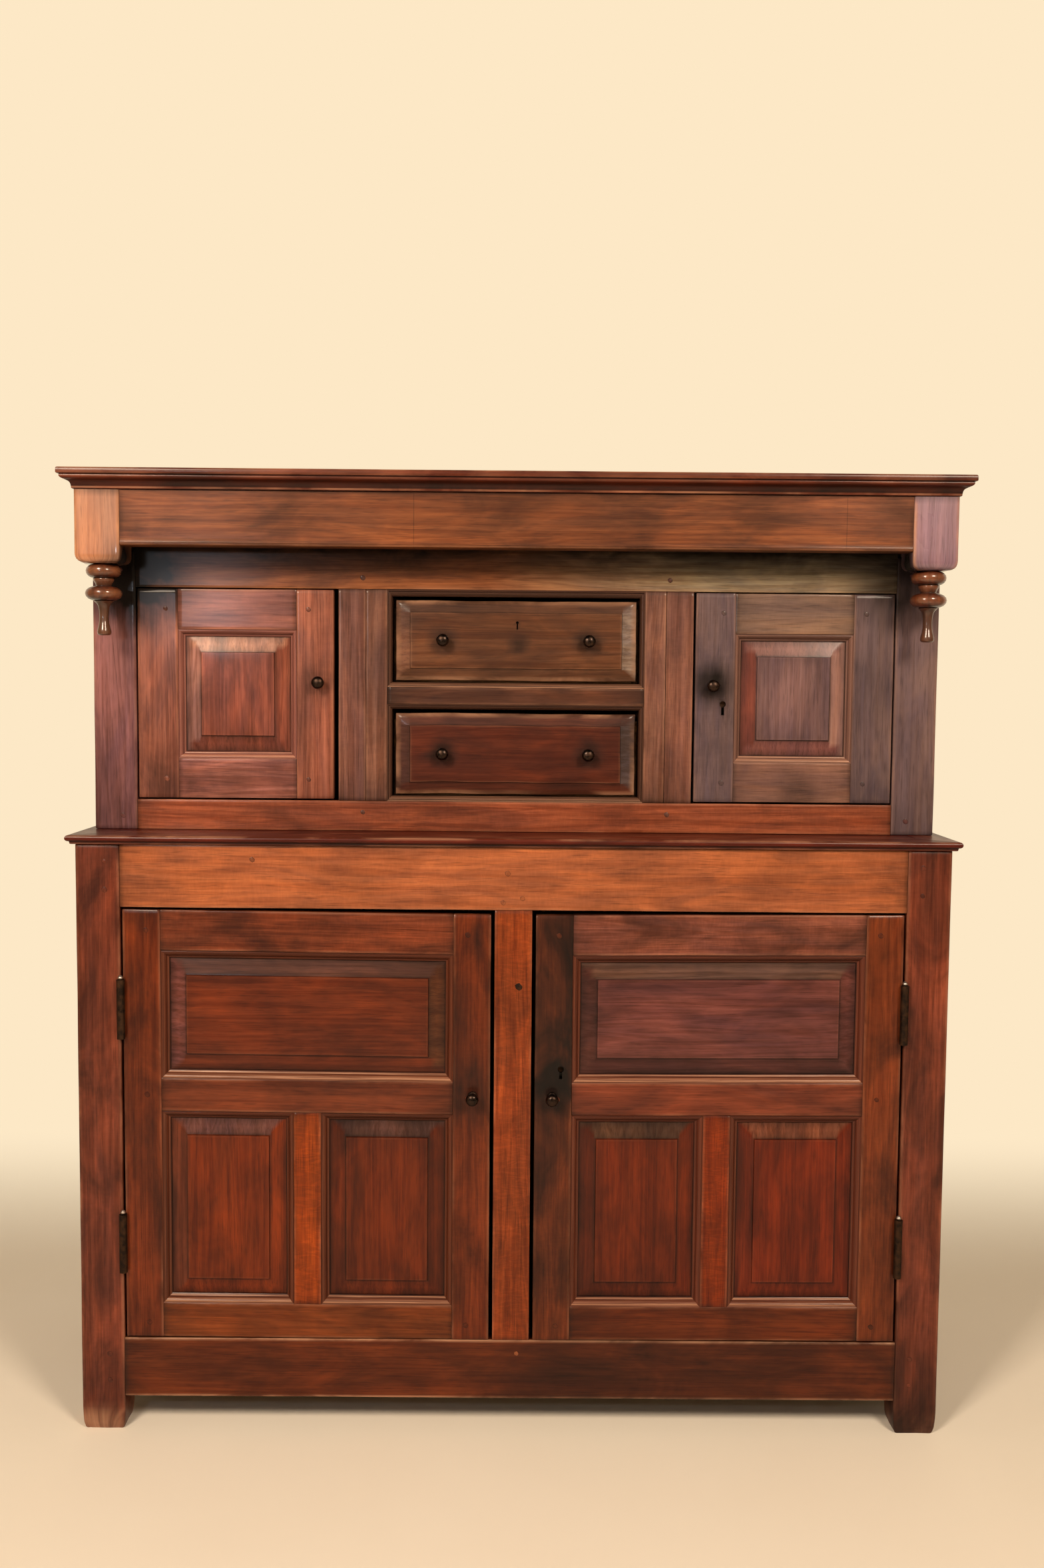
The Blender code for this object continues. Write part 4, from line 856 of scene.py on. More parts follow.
def moulded_lengths(bm, half, profile, base, back, inset, tone):
    """Moulding round the front and both sides, mitred at the front corners. Its profile is in mm
    over its base, and its back goes on at the levels given."""
    ring = [(out * MM, base + height * MM, wear, grime_and_shade) for out, height, wear, grime_and_shade in profile]
    ring += [(-inset, level, 0.0, 0.0) for level in back]
    across = [(place, 0.0, 0.0, 0.0) for place in spaced(-half, half, FRONT_LENGTHS)]
    sweep(bm, ring, across, lambda a, p, q: (a, FRONT - p, q), tone, mitre=(-1, 1), wobble=0.0)
    along = [(place, 0.0, 0.0, 0.0) for place in spaced(FRONT, BACK, SIDE_LENGTHS)]
    for side in SIDES.values():
        sweep(bm, ring, along, lambda a, p, q: (side * (half + p), a, q), tone, mitre=(-1, 0), wobble=0.0)


LEDGE_INSET = 0.047
# Nose of the ledge from its top down, as (projection and height in mm, wear, grime and shade): a
# rounded thumb over a small fillet, its underside darkened with painted shade
LEDGE_NOSE = [(8.0, 14.5, 0.2, 0.0), (10.8, 14.0, 0.5, 0.0), (12.5, 12.2, 0.15, 0.0), (13.0, 9.6, 0.0, 0.0),
              (12.2, 6.9, 0.0, 0.15), (10.0, 5.2, 0.0, 0.5), (7.4, 4.6, 0.0, 0.8), (7.0, 3.4, 0.0, 0.7),
              (6.6, 0.8, 0.3, 0.2), (5.0, 0.0, 0.0, 0.6)]


def waist_ledge():
    bm = new_piece()
    z = (LOWER_HEIGHT, LEDGE_TOP)
    moulded_lengths(bm, LOWER_HALF, LEDGE_NOSE, LOWER_HEIGHT, z, LEDGE_INSET, "ledge")
    half = LOWER_HALF - LEDGE_INSET
    long_boards(bm, (-half, half), (FRONT + LEDGE_INSET, BACK), z, 3, "ledge")
    finish_piece(bm, "waist_ledge_boards", ["waist_ledge"])


CORNICE_BASE = 1.5253
CORNICE_TOP = 1.5563
CORNICE_INSET = 0.030
TOP_BOARDS_TOP = 1.5433
# The cornice from its foot up, as (projection and height in mm, wear, grime and shade): a fillet,
# a cove and quirks darkened with painted shade, a bead and a square lip
CORNICE_STEPS = [(0.0, 0.0, 0.0, 0.9), (2.2, 0.4, 0.0, 0.4), (2.6, 1.6, 0.35, 0.0), (2.6, 3.6, 0.3, 0.1),
                 (2.9, 4.3, 0.0, 0.9), (3.2, 6.4, 0.0, 0.85), (4.2, 9.0, 0.0, 0.7), (6.2, 11.4, 0.0, 0.6),
                 (9.2, 13.2, 0.0, 0.5), (12.0, 13.9, 0.0, 0.3), (14.4, 14.6, 0.0, 0.1),
                 (16.2, 15.8, 0.0, 0.0), (17.2, 17.4, 0.1, 0.0), (17.3, 19.0, 0.1, 0.0),
                 (16.6, 20.6, 0.0, 0.6), (17.0, 21.2, 0.0, 0.9), (20.4, 21.5, 0.1, 0.3),
                 (21.0, 22.4, 0.15, 0.1), (21.0, 28.4, 0.05, 0.0), (20.2, 30.3, 0.4, 0.0),
                 (18.4, 31.0, 0.6, 0.0), (13.0, 31.0, 0.2, 0.0)]


def cornice():
    """Moulding round the top, and the boards that close it."""
    bm = new_piece()
    moulded_lengths(bm, UPPER_HALF, CORNICE_STEPS, CORNICE_BASE, (CORNICE_TOP, CORNICE_BASE),
                    CORNICE_INSET - SEAT, "cornice")
    finish_piece(bm, "cornice_moulding", ["cornice"])
    bm = new_piece()
    half = UPPER_HALF - CORNICE_INSET - SEAT
    long_boards(bm, (-half, half), (FRONT + CORNICE_INSET + SEAT, BACK), (CORNICE_BASE, TOP_BOARDS_TOP), 3,
                "dry_board")
    finish_piece(bm, "top_boards_planks", ["top_boards"], material=DRY_OAK)


BLOCK_SIZE = 0.071
BLOCK_BOTTOM = 1.411
FRIEZE_SETBACK = 2 * MM
FRIEZE_CRACKS = (-0.162, 0.519)
CRACK_HALF = 0.9 * MM
CRACK_DIRT = 0.7
# How far the frieze's face wavers, and in how many waves for each metre along and across
FRIEZE_WAVER, FRIEZE_WAVES = 0.5 * WOBBLE, (6, 20)
# Face of the frieze down from its top, and its bead up from its bottom, as (distance, depth in mm,
# wear, grime and shade); the bead is darkened with painted shade
FRIEZE_FACE = [(0, 0.0, 0.0, 0.7), (5, 0.0, 0.0, 0.2), (14, 0.0, 0.0, 0.0), (28, 0.0, 0.0, 0.0),
               (42, 0.0, 0.0, 0.0), (56, 0.0, 0.0, 0.0)]
FRIEZE_BEAD = [(12, 0.0, 0.0, 0.0), (5.4, 0.2, 0.0, 0.35), (4.6, 0.0, 0.0, 0.75), (3.8, -1.2, 0.1, 0.62),
               (1.6, -1.4, 0.16, 0.58), (0.3, -0.4, 0.0, 0.6), (0, 1.2, 0.0, 0.4)]
# Smoke and handling that dulled the frieze, as (x, z, reach, amount)
FRIEZE_SMOKE = [(-0.02, 1.520, 0.14, 0.3), (0.14, 1.528, 0.16, 0.4), (0.33, 1.528, 0.13, 0.4),
                (0.60, 1.52, 0.06, 0.4), (-0.40, 1.53, 0.12, 0.25), (0.07, 1.455, 0.08, 0.2)]


def frieze():
    """Frieze rail with a small rubbed bead along its lower edge, darkened with painted shade."""
    bm = new_piece()
    top, low = CANOPY_TOP - SEAT, FRIEZE_BOTTOM
    ring = [(top - drop * MM, depth * MM, wear, grime_and_shade) for drop, depth, wear, grime_and_shade in FRIEZE_FACE]
    ring += [(low + rise * MM, depth * MM, wear, grime_and_shade) for rise, depth, wear, grime_and_shade in FRIEZE_BEAD]
    ring += [(low, RAIL_THICKNESS, 0.0, 0.6), (top, RAIL_THICKNESS, 0.0, 0.3)]
    edge = UPPER_HALF - BLOCK_SIZE - SEAT
    front = FRONT + FRIEZE_SETBACK
    stations = [(place, 0.0, dirt, worn)
                for place, _, dirt, worn in run_stations(-edge, edge, 0.2 * MM, 0.8, 0.03)]
    stations += [(x + away, 0.0, dirt, 0.0) for x in FRIEZE_CRACKS
                 for away, dirt in ((-CRACK_HALF, 0.0), (0.0, CRACK_DIRT), (CRACK_HALF, 0.0))]

    def put(a, p, q):
        along, across = FRIEZE_WAVES
        return (a, front + q + FRIEZE_WAVER * noise.noise((a * along, p * across, 3)), p)

    sweep(bm, ring, sorted(stations), put, "frieze", wobble=0.0)
    for x, z, reach, amount in FRIEZE_SMOKE:
        stain_and_shade(bm, (x, front, z), reach, amount)
    finish_piece(bm, "frieze_rail_timber", ["frieze_rail"])


RING_WEAR = 0.45
RING_DIRT_AND_SHADE = 1.1
# Share of a ring's swell from which its crest is worn
RING_CREST = 0.6
RING_STEPS = 8


def bulge(core, radius, top, height):
    """Turned ring between two heights, darkened with dirt and painted shade where it meets its core, and
    worn at its crest.
    """
    points = []
    for angle in spaced(0, pi, RING_STEPS):
        out = sin(angle)
        points.append((core + (radius - core) * out, top - height * (1 - cos(angle)) / 2,
                       RING_WEAR * max(0.0, out - RING_CREST), RING_DIRT_AND_SHADE * (1 - out)))
    return points


# Turned parts of the pendant below its block, in millimetres: the rings as (core, radius, drop,
# height), the vase between them and the stem as (radius, drop, grime and shade); the stem is
# darkened with painted shade
PENDANT_RINGS = [(15.0, 27.5, 0, 22), (13.0, 29.0, 35, 23)]
PENDANT_VASE = [(16.0, 22.8, 0.5), (16.4, 24.5, 0.1), (15.4, 27, 0.1), (13.4, 30, 0.3), (12.0, 33.5, 0.7)]
PENDANT_STEM = [(15.5, 58.8, 0.7), (13.4, 60.5, 0.7), (10.8, 63, 0.85), (8.8, 67, 0.85), (7.6, 74, 0.8),
                (7.2, 82, 0.75), (7.4, 90, 0.7), (8.6, 97, 0.65), (10.2, 103, 0.6), (11.0, 107, 0.55),
                (10.6, 110.5, 0.55), (8.6, 112.4, 0.6), (5.0, 113, 0.6)]
PENDANT_TENON = (14.5 * MM, 4 * MM)
PENDANT_DROP = 113 * MM
PENDANT_FACES = 40
# How the block draws in to the turning at its foot, as (height, inset, grime), and how it meets the
# cornice, as (distance from its top, grime), in millimetres
BLOCK_FOOT = [(0, 10.5, 0.35), (1.0, 7.6, 0.35), (3.0, 4.4, 0.0), (6, 1.9, 0.0), (10, 0.5, 0.0),
              (14, 0.0, 0.0), (30, 0.0, 0.0), (60, 0.0, 0.0)]
BLOCK_HEAD = [(12, 0.05), (0, 0.6)]
BLOCK_ARRIS = 2.6 * MM
BLOCK_STEP = 0.018
# Painted shade on the block's inner face, as (height over its foot, reach, amount)
BLOCK_SHADE = (8 * MM, 0.046, 1.4)


def pendants():
    """Corner blocks of the canopy, rounded in at the foot, and the turned drops below them."""
    top = CANOPY_TOP - SEAT
    centre_y = FRONT + BLOCK_SIZE / 2
    tenon, tenon_rise = PENDANT_TENON
    stations = [(BLOCK_BOTTOM + height * MM, inset * MM, dirt, 0.0) for height, inset, dirt in BLOCK_FOOT]
    stations += [(top - drop * MM, 0.0, dirt, 0.0) for drop, dirt in BLOCK_HEAD]
    profile = [(radius, BLOCK_BOTTOM + tenon_rise, 0.0, 0.9) for radius in (0.0, tenon)]
    for parts, (core, radius, drop, height) in zip((PENDANT_VASE, PENDANT_STEM), PENDANT_RINGS):
        profile += bulge(core * MM, radius * MM, BLOCK_BOTTOM - drop * MM, height * MM)
        profile += [(size * MM, BLOCK_BOTTOM - below * MM, 0.15, grime_and_shade) for size, below, grime_and_shade in parts]
    profile.append((0.0, BLOCK_BOTTOM - PENDANT_DROP, 0.0, 0.2))
    for name, side in SIDES.items():
        bm = new_piece()
        centre_x = side * (UPPER_HALF - BLOCK_SIZE / 2)

        def put(height, p, q):
            return (centre_x + p, centre_y + q, height)

        section = squared_ring(BLOCK_SIZE, BLOCK_SIZE, BLOCK_ARRIS, BLOCK_STEP)
        sweep(bm, section, stations, put, f"{name}_block", wear=0.6)
        # Painted shade on the block's inner face
        rise, reach, amount = BLOCK_SHADE
        stain_and_shade(bm, (centre_x - side * BLOCK_SIZE / 2, centre_y, BLOCK_BOTTOM + rise), reach, amount)
        turn(bm, profile, PENDANT_FACES, put, "pendant")
        finish_piece(bm, f"pendant_{name}_turned", [f"pendant_{name}"], material=TURNED_OAK)


DRAWER_MOULDING = 8 * MM
OPENING_DEPTH = 7 * MM
OPENING_BACK = 7.2 * MM
# Worn edge round a drawer's opening, given as the stuck moulding is
OPENING_EDGE = [(0.0, 1.0, 0.0, 0.9), (0.06, 0.9, 0.3, 0.5), (0.32, 0.52, 0.2, 0.1), (0.58, 0.32, 0.4, 0.0),
                (0.70, 0.34, 0.0, 0.6), (0.76, 0.04, 0.8, 0.1), (1.0, 0.0, 0.3, 0.0)]
MUNTIN_SEAM = 0.247
SEAM_GAP = 0.3 * MM
# Painted shade under the canopy, as (Z where it starts, Z where it is full, amount)
CANOPY_SHADE = (1.400, 1.438, 1.1)
# Painted shadows that the drops cast on the wood behind them, as (x, z, reach, amount)
DROP_SHADOWS = {"left": (0.618, 1.400, 0.115, 1.3), "right": (0.622, 1.400, 0.095, 1.0)}
# Grey painted sheen on the right of the top rail, as (colour, share, x where it starts, x where it is full)
RAIL_SHEEN = ("#959a8c", 0.85, -0.05, 0.30)


def shade_under_canopy(bm):
    """Painted shade under the canopy, and a grey painted sheen on the right of the top rail."""
    grime_and_shade = bm.verts.layers.float["grime_and_shade"]
    tone = bm.verts.layers.float_color["tone"]
    low, high, amount = CANOPY_SHADE
    colour, full, start, end = RAIL_SHEEN
    for vert in bm.verts:
        vert[grime_and_shade] = max(vert[grime_and_shade], amount * ramp(vert.co.z, low, high))
        vert[tone] = tinted(vert[tone], (colour, full * ramp(vert.co.x, start, end)))


def drop_shadow(name):
    """Painted shadow of one drop, as a stain."""
    x, z, reach, amount = DROP_SHADOWS[name]
    return (SIDES[name] * x, UPPER_FRONT, z), reach, amount


def upper_frame():
    """Posts, rails and muntins of the upper case, with the moulded edges of the drawer openings."""
    y = (UPPER_FRONT, UPPER_FRONT + RAIL_THICKNESS)
    x = grow((-UPPER_POST_INNER, UPPER_POST_INNER), -SEAT)
    bm = new_piece()
    timber(bm, x, y, (UPPER_HEAD, CANOPY_TOP - SEAT), 0, "upper_top_rail", step=0.010)
    # Painted shade under the canopy, and painted shadows of the drops at both ends of the rail
    shade_under_canopy(bm)
    for name in SIDES:
        stain_and_shade(bm, *drop_shadow(name))
    finish_piece(bm, "upper_top_rail_timber", ["upper_top_rail"])
    carcass_timber("upper_bottom_rail", x, y, (LEDGE_TOP + SEAT, UPPER_SILL), 0, "oak_warm", fleck=0.15)
    flat = DRAWER_HALF + DRAWER_MOULDING
    for name, side in SIDES.items():
        # The posts carry the painted shadows of the drops
        carcass_timber(f"upper_post_{name}", span(side * UPPER_POST_INNER, side * UPPER_HALF),
                       (UPPER_FRONT, UPPER_FRONT + POST_DEPTH), grow((LEDGE_TOP, FRIEZE_BOTTOM), -SEAT), 2,
                       stains=[drop_shadow(name)], arris=2 * MM, dirt=0.5, step=0.012)
        bm = new_piece()
        z = grow((UPPER_SILL, UPPER_HEAD), -SEAT)
        timber(bm, span(side * flat, side * (MUNTIN_SEAM - SEAM_GAP)), y, z, 2, "upper_muntin_strip",
               fleck=0.12)
        timber(bm, span(side * (MUNTIN_SEAM + SEAM_GAP), side * MUNTIN_OUTER), y, z, 2, "upper_muntin",
               fleck=0.12)
        node = f"upper_muntin_{name}"
        muntin = finish_piece(bm, node + "_boards", [node])
        if name == LOCKED_SIDE:
            bolt_way(muntin, "upper_lock_bolt")
    bm = new_piece()
    rail_z = grow((DRAWER_RAIL_BOTTOM, DRAWER_RAIL_TOP), -DRAWER_MOULDING)
    timber(bm, (-flat, flat), y, rail_z, 0, "drawer_rail")
    openings = {(DRAWER_RAIL_TOP, DRAWER_HEAD): (DRAWER_MOULDING, UPPER_HEAD - DRAWER_HEAD),
                (DRAWER_SILL, DRAWER_RAIL_BOTTOM): (DRAWER_SILL - UPPER_SILL, DRAWER_MOULDING)}
    for z, widths in openings.items():
        moulding(bm, (-DRAWER_HALF, DRAWER_HALF), z, face_front(UPPER_FRONT),
                 (DRAWER_MOULDING, DRAWER_MOULDING, *widths), OPENING_DEPTH, "drawer_rail",
                 (OPENING_BACK, RAIL_THICKNESS), OPENING_EDGE)
    finish_piece(bm, "drawer_rail_joinery", ["drawer_rail"])


KNOB_RADIUS = 10.5 * MM
LOWER_KNOB_REACH = 28 * MM
UPPER_KNOB_REACH = 24 * MM
KNOB_FACES = 28
# Outline of a turned knob from its crown to its rose, as shares of its radius and its reach
KNOB_OUTLINE = [(0.0, 1.0), (0.34, 0.985), (0.66, 0.94), (0.88, 0.86), (0.99, 0.75), (0.97, 0.64),
                (0.82, 0.54), (0.60, 0.46), (0.45, 0.38), (0.41, 0.28), (0.46, 0.20), (0.62, 0.14),
                (0.76, 0.11), (0.80, 0.06), (0.78, 0.0), (0.30, 0.0), (0.28, -0.40), (0.0, -0.40)]


def knob(node, body, x, face, z, reach, settle=None):
    bm = new_piece()
    turn(bm, bare_outline(KNOB_OUTLINE, KNOB_RADIUS, reach), KNOB_FACES,
         lambda h, p, q: (x + p, face - SEAT - h, z + q), IRON_TONE, facets=0.03)
    finish_piece(bm, node + "_turned", [node], body, HANDLED_IRON, settle)


def bore(item, cutter_bm, axis):
    """Cut a hole into a timber with its grain along one axis, darkened inside with dirt and painted shade.
    """
    mesh = bpy.data.meshes.new("hole_cutter")
    bmesh.ops.recalc_face_normals(cutter_bm, faces=cutter_bm.faces)
    cutter_bm.to_mesh(mesh)
    cutter_bm.free()
    mesh.materials.append(item.data.materials[0])
    cutter = bpy.data.objects.new("hole_cutter", mesh)
    bpy.context.scene.collection.objects.link(cutter)
    hole = item.modifiers.new("hole", "BOOLEAN")
    hole.object = cutter
    bpy.context.view_layer.update()
    graph = bpy.context.evaluated_depsgraph_get()
    solid = item.data
    item.data = bpy.data.meshes.new_from_object(item.evaluated_get(graph))
    item.data.name = solid.name + "_bored"
    item.modifiers.clear()
    bpy.data.objects.remove(cutter)
    wood_round_hole(solid, item.data, axis)


BOLT_THROW = 13 * MM
BOLT_PLAY = 0.8 * MM
HOLE_DIRT_AND_SHADE = 2.0
RIM_DIRT = 0.3
RIM_DEPTH = 1.2 * MM


def bolt_way(item, bolt):
    """Mortise for a lock bolt, from its tail in the stile to its thrown end in the muntin."""
    low, high = (Vector(corner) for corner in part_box(bolt))
    low -= Vector((BOLT_THROW + BOLT_PLAY, BOLT_PLAY, BOLT_PLAY))
    high += Vector((BOLT_PLAY, BOLT_PLAY, BOLT_PLAY))
    bm = new_piece()
    size = Matrix.Diagonal((*(high - low), 1.0))
    bmesh.ops.create_cube(bm, size=1.0, matrix=Matrix.Translation((low + high) / 2) @ size)
    bore(item, bm, 2)


def wood_round_hole(solid, bored, axis):
    """Give the points of a cut the grain and tone of the wood they lie in, and dirt with painted shade deep
    in the hole.
    """
    known = kdtree.KDTree(len(solid.vertices))
    for vert in solid.vertices:
        known.insert(vert.co, vert.index)
    known.balance()
    before, after = solid.attributes, bored.attributes
    order = (axis, *SECTION_AXES[axis])
    face = min(vert.co.y for vert in solid.vertices)
    for vert in bored.vertices:
        place, index, distance = known.find(vert.co)
        if distance < 1e-6:
            continue
        way = vert.co - place
        grain = Vector(before["grain"].data[index].vector) + Vector([way[i] for i in order])
        after["grain"].data[vert.index].vector = grain
        after["tone"].data[vert.index].color = before["tone"].data[index].color
        after["fleck"].data[vert.index].value = before["fleck"].data[index].value
        after["wear"].data[vert.index].value = 0.0
        rim = before["grime_and_shade"].data[index].value + RIM_DIRT
        after["grime_and_shade"].data[vert.index].value = rim if vert.co.y < face + RIM_DEPTH else HOLE_DIRT_AND_SHADE


# A keyhole's slot as shares of the hole's radius, the points of its round, and how far its cutter
# stands out of the face and goes into it
SLOT_LEAN = 0.45
SLOT_HALF = 0.5
KEYHOLE_STEPS = 14
KEYHOLE_CUT = (-2 * MM, 11 * MM)


def keyhole(item, x, front, z, radius, length, axis):
    """Round hole with a slot below it."""
    bm = new_piece()
    lean = asin(SLOT_LEAN)
    outline = [(radius * sin(angle), radius * cos(angle))
               for angle in spaced(lean - pi, pi - lean, KEYHOLE_STEPS)]
    outline += [(radius * SLOT_HALF, -length), (-radius * SLOT_HALF, -length)]
    # Near-black painted shade for the inside of the hole; the cut then takes the wood's tone
    rows = [[oak_point(bm, (x + u, front + depth, z + v), (u, v, depth), linear("#120a06"), 0.0,
                       HOLE_DIRT_AND_SHADE, 0.0) for u, v in outline] for depth in KEYHOLE_CUT]
    skin(bm, rows)
    for row in rows:
        bm.faces.new(row)
    bore(item, bm, axis)


DRAWER_FRONT = 0.020
DRAWER_KNOB_X = 0.120
DRAWER_BOX_BACK = 0.22715
DRAWER_BOX_PLAY = 1.5 * MM
DRAWER_BOX_DROP = 0.018
DRAWER_WALL = 0.010
DRAWER_FLOOR = 0.008
DRAWER_SLOPE = 23.7 * MM
# The slopes above and below the field are narrower than those at its ends
DRAWER_SLOPE_RATIO = 20 / 24
# Shrinkage of a front at its ends, foot and head
DRAWER_TRIM = (6 * MM, 3.5 * MM, 6.5 * MM)
# How far a front's ends and its long edges waver, and in how many waves for each metre
END_WAVER, END_WAVES = 1.1 * MM, 30
EDGE_WAVER, EDGE_WAVES = 1.3 * MM, (13, 4)
# Hand dirt round a knob as (reach, amount), and on the top drawer a mark as (x, rise over the
# middle, reach, amount) and a keyhole as (x, rise, radius, length)
KNOB_DIRT = (0.030, 0.8)
TOP_DRAWER_MARK = (0.004, -0.006, 0.022, 0.7)
TOP_DRAWER_KEYHOLE = (0.002, 0.030, 2.4 * MM, 11 * MM)
DRAWER_STEP = 0.009
DRAWER_PROFILE = [(0.0, 8.0 * MM, 0.3, 0.7), (1.0 * MM, 7.0 * MM, 0.6, 0.4), (10 * MM, 5.1 * MM, 0.0, 0.1),
                  (22.6 * MM, 2.5 * MM, 0.0, 0.3), (23.6 * MM, 2.2 * MM, 0.0, 0.7),
                  (24.4 * MM, 0.2 * MM, 0.1, 0.0), (28 * MM, 0.0, 0.0, 0.0)]


def drawer(level, opening):
    """Fielded front, dry box and two knobs of one drawer."""
    body = f"{level}_drawer"
    bm = new_piece()
    ends, foot, head = DRAWER_TRIM
    x, z = grow((-DRAWER_HALF, DRAWER_HALF), -ends), (opening[0] + foot, opening[1] - head)

    def wavering(u, v, depth):
        along, across = EDGE_WAVES
        return (u + END_WAVER * noise.noise((v * END_WAVES, 4, u)), UPPER_FRONT + depth,
                v + EDGE_WAVER * noise.noise((u * along, 7, v * across)))

    fielded_board(bm, x, z, DRAWER_PROFILE, DRAWER_SLOPE, DRAWER_FRONT, wavering, body, False,
                  DRAWER_SLOPE_RATIO, DRAWER_STEP)
    height = sum(z) / 2
    for side in SIDES.values():
        stain_and_shade(bm, (side * DRAWER_KNOB_X, UPPER_FRONT, height), *KNOB_DIRT)
    if level == "top":
        mark_x, rise, reach, amount = TOP_DRAWER_MARK
        stain_and_shade(bm, (mark_x, UPPER_FRONT, height + rise), reach, amount)
    item = finish_piece(bm, body + "_fielded_front", [body + "_front"], body)
    if level == "top":
        key_x, rise, radius, length = TOP_DRAWER_KEYHOLE
        keyhole(item, key_x, UPPER_FRONT, height + rise, radius, length, 0)
    for name, side in SIDES.items():
        knob(f"{body}_knob_{name}", body, side * DRAWER_KNOB_X, UPPER_FRONT, height, UPPER_KNOB_REACH)
    bm = new_piece()
    half = DRAWER_HALF - DRAWER_BOX_PLAY
    inner = half - DRAWER_WALL
    near, far = UPPER_FRONT + DRAWER_FRONT + SEAT, DRAWER_BOX_BACK
    low, high = opening[0] + SEAT, opening[1] - DRAWER_BOX_DROP
    for side in SIDES.values():
        timber(bm, span(side * inner, side * half), (near, far), (low, high), 1, "drawer_side", wear=0.6)
    for y, wear in (((far - DRAWER_WALL, far), 0.6), ((near, near + DRAWER_WALL), 0.3)):
        timber(bm, (-inner, inner), y, (low + DRAWER_FLOOR, high), 0, "drawer_side", wear=wear)
    long_boards(bm, (-inner, inner), (near, far), (low, low + DRAWER_FLOOR), 3, "drawer_side")
    finish_piece(bm, body + "_dry_box", [body + "_box"], body, DRY_OAK)


PEG_RADIUS = 4.4 * MM
PLUG_RADIUS = 6.5 * MM
PEG_FACES = 9
# A peg from its hidden end to its head, as (share of its radius, height in mm, grime), and how
# much smaller or larger it may be
PEG_OUTLINE = [(0.0, -5.0, 0.6), (1.0, -5.0, 0.6), (1.0, 0.2, 0.85), (0.8, 0.5, 0.4), (0.0, 0.6, 0.3)]
PEG_SIZES = (0.85, 1.1)


def pegs(bm, places, front, tone, radius=PEG_RADIUS):
    """Riven oak pegs that pin the joints, their heads a little proud and not quite round."""
    for x, z in places:
        size = radius * shuffle.uniform(*PEG_SIZES)
        profile = [(share * size, height * MM, 0.0, grime_and_shade) for share, height, grime_and_shade in PEG_OUTLINE]
        turn(bm, profile, PEG_FACES, lambda h, p, q: (x + p, front - h, z + q), tone, facets=0.35)


# Outline of a forged nail head from its crown to its shank, as (radius, height) in millimetres
NAIL_HEAD = [(0.0, 1.2), (1.8, 1.0), (3.2, 0.5), (3.6, 0.0), (1.2, 0.0), (1.2, -4.0), (0.0, -4.0)]
NAIL_FACES = 10
NAIL_SIZES = (0.85, 1.15)
LOCK_PLATE = (52 * MM, 78 * MM, 2.5 * MM)
LOCK_PLATE_INSET = 4 * MM
LOCK_NAIL_INSET = 7 * MM
LOCKED_SIDE = "right"


def nails(bm, places, put):
    """Forged nail heads, each a little uneven, at (across, up) places on a face."""
    for u, v in places:
        size = shuffle.uniform(*NAIL_SIZES)
        turn(bm, bare_outline(NAIL_HEAD, size * MM, MM), NAIL_FACES,
             lambda h, p, q: put(u + p, v + q, h), IRON_TONE, facets=0.25)


def lock_plate(level, body, back):
    """Iron plate of the lock on a door's inner face, held by four nails."""
    (low_x, _, low_z), (_, _, high_z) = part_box(f"{level}_lock_bolt")
    width, height, thickness = LOCK_PLATE
    x = (low_x + LOCK_PLATE_INSET, low_x + LOCK_PLATE_INSET + width)
    z = middle((low_z + high_z) / 2, height)
    bm = new_piece()
    face = back + SEAT + thickness
    timber(bm, x, (back + SEAT, face), z, 2, IRON_TONE, arris=0.6 * MM)
    corners = [(u, v) for u in grow(x, -LOCK_NAIL_INSET) for v in grow(z, -LOCK_NAIL_INSET)]
    nails(bm, corners, lambda u, v, h: (u, face + h, v))
    finish_piece(bm, f"{level}_lock_plate", body=body, material=FORGED_IRON)


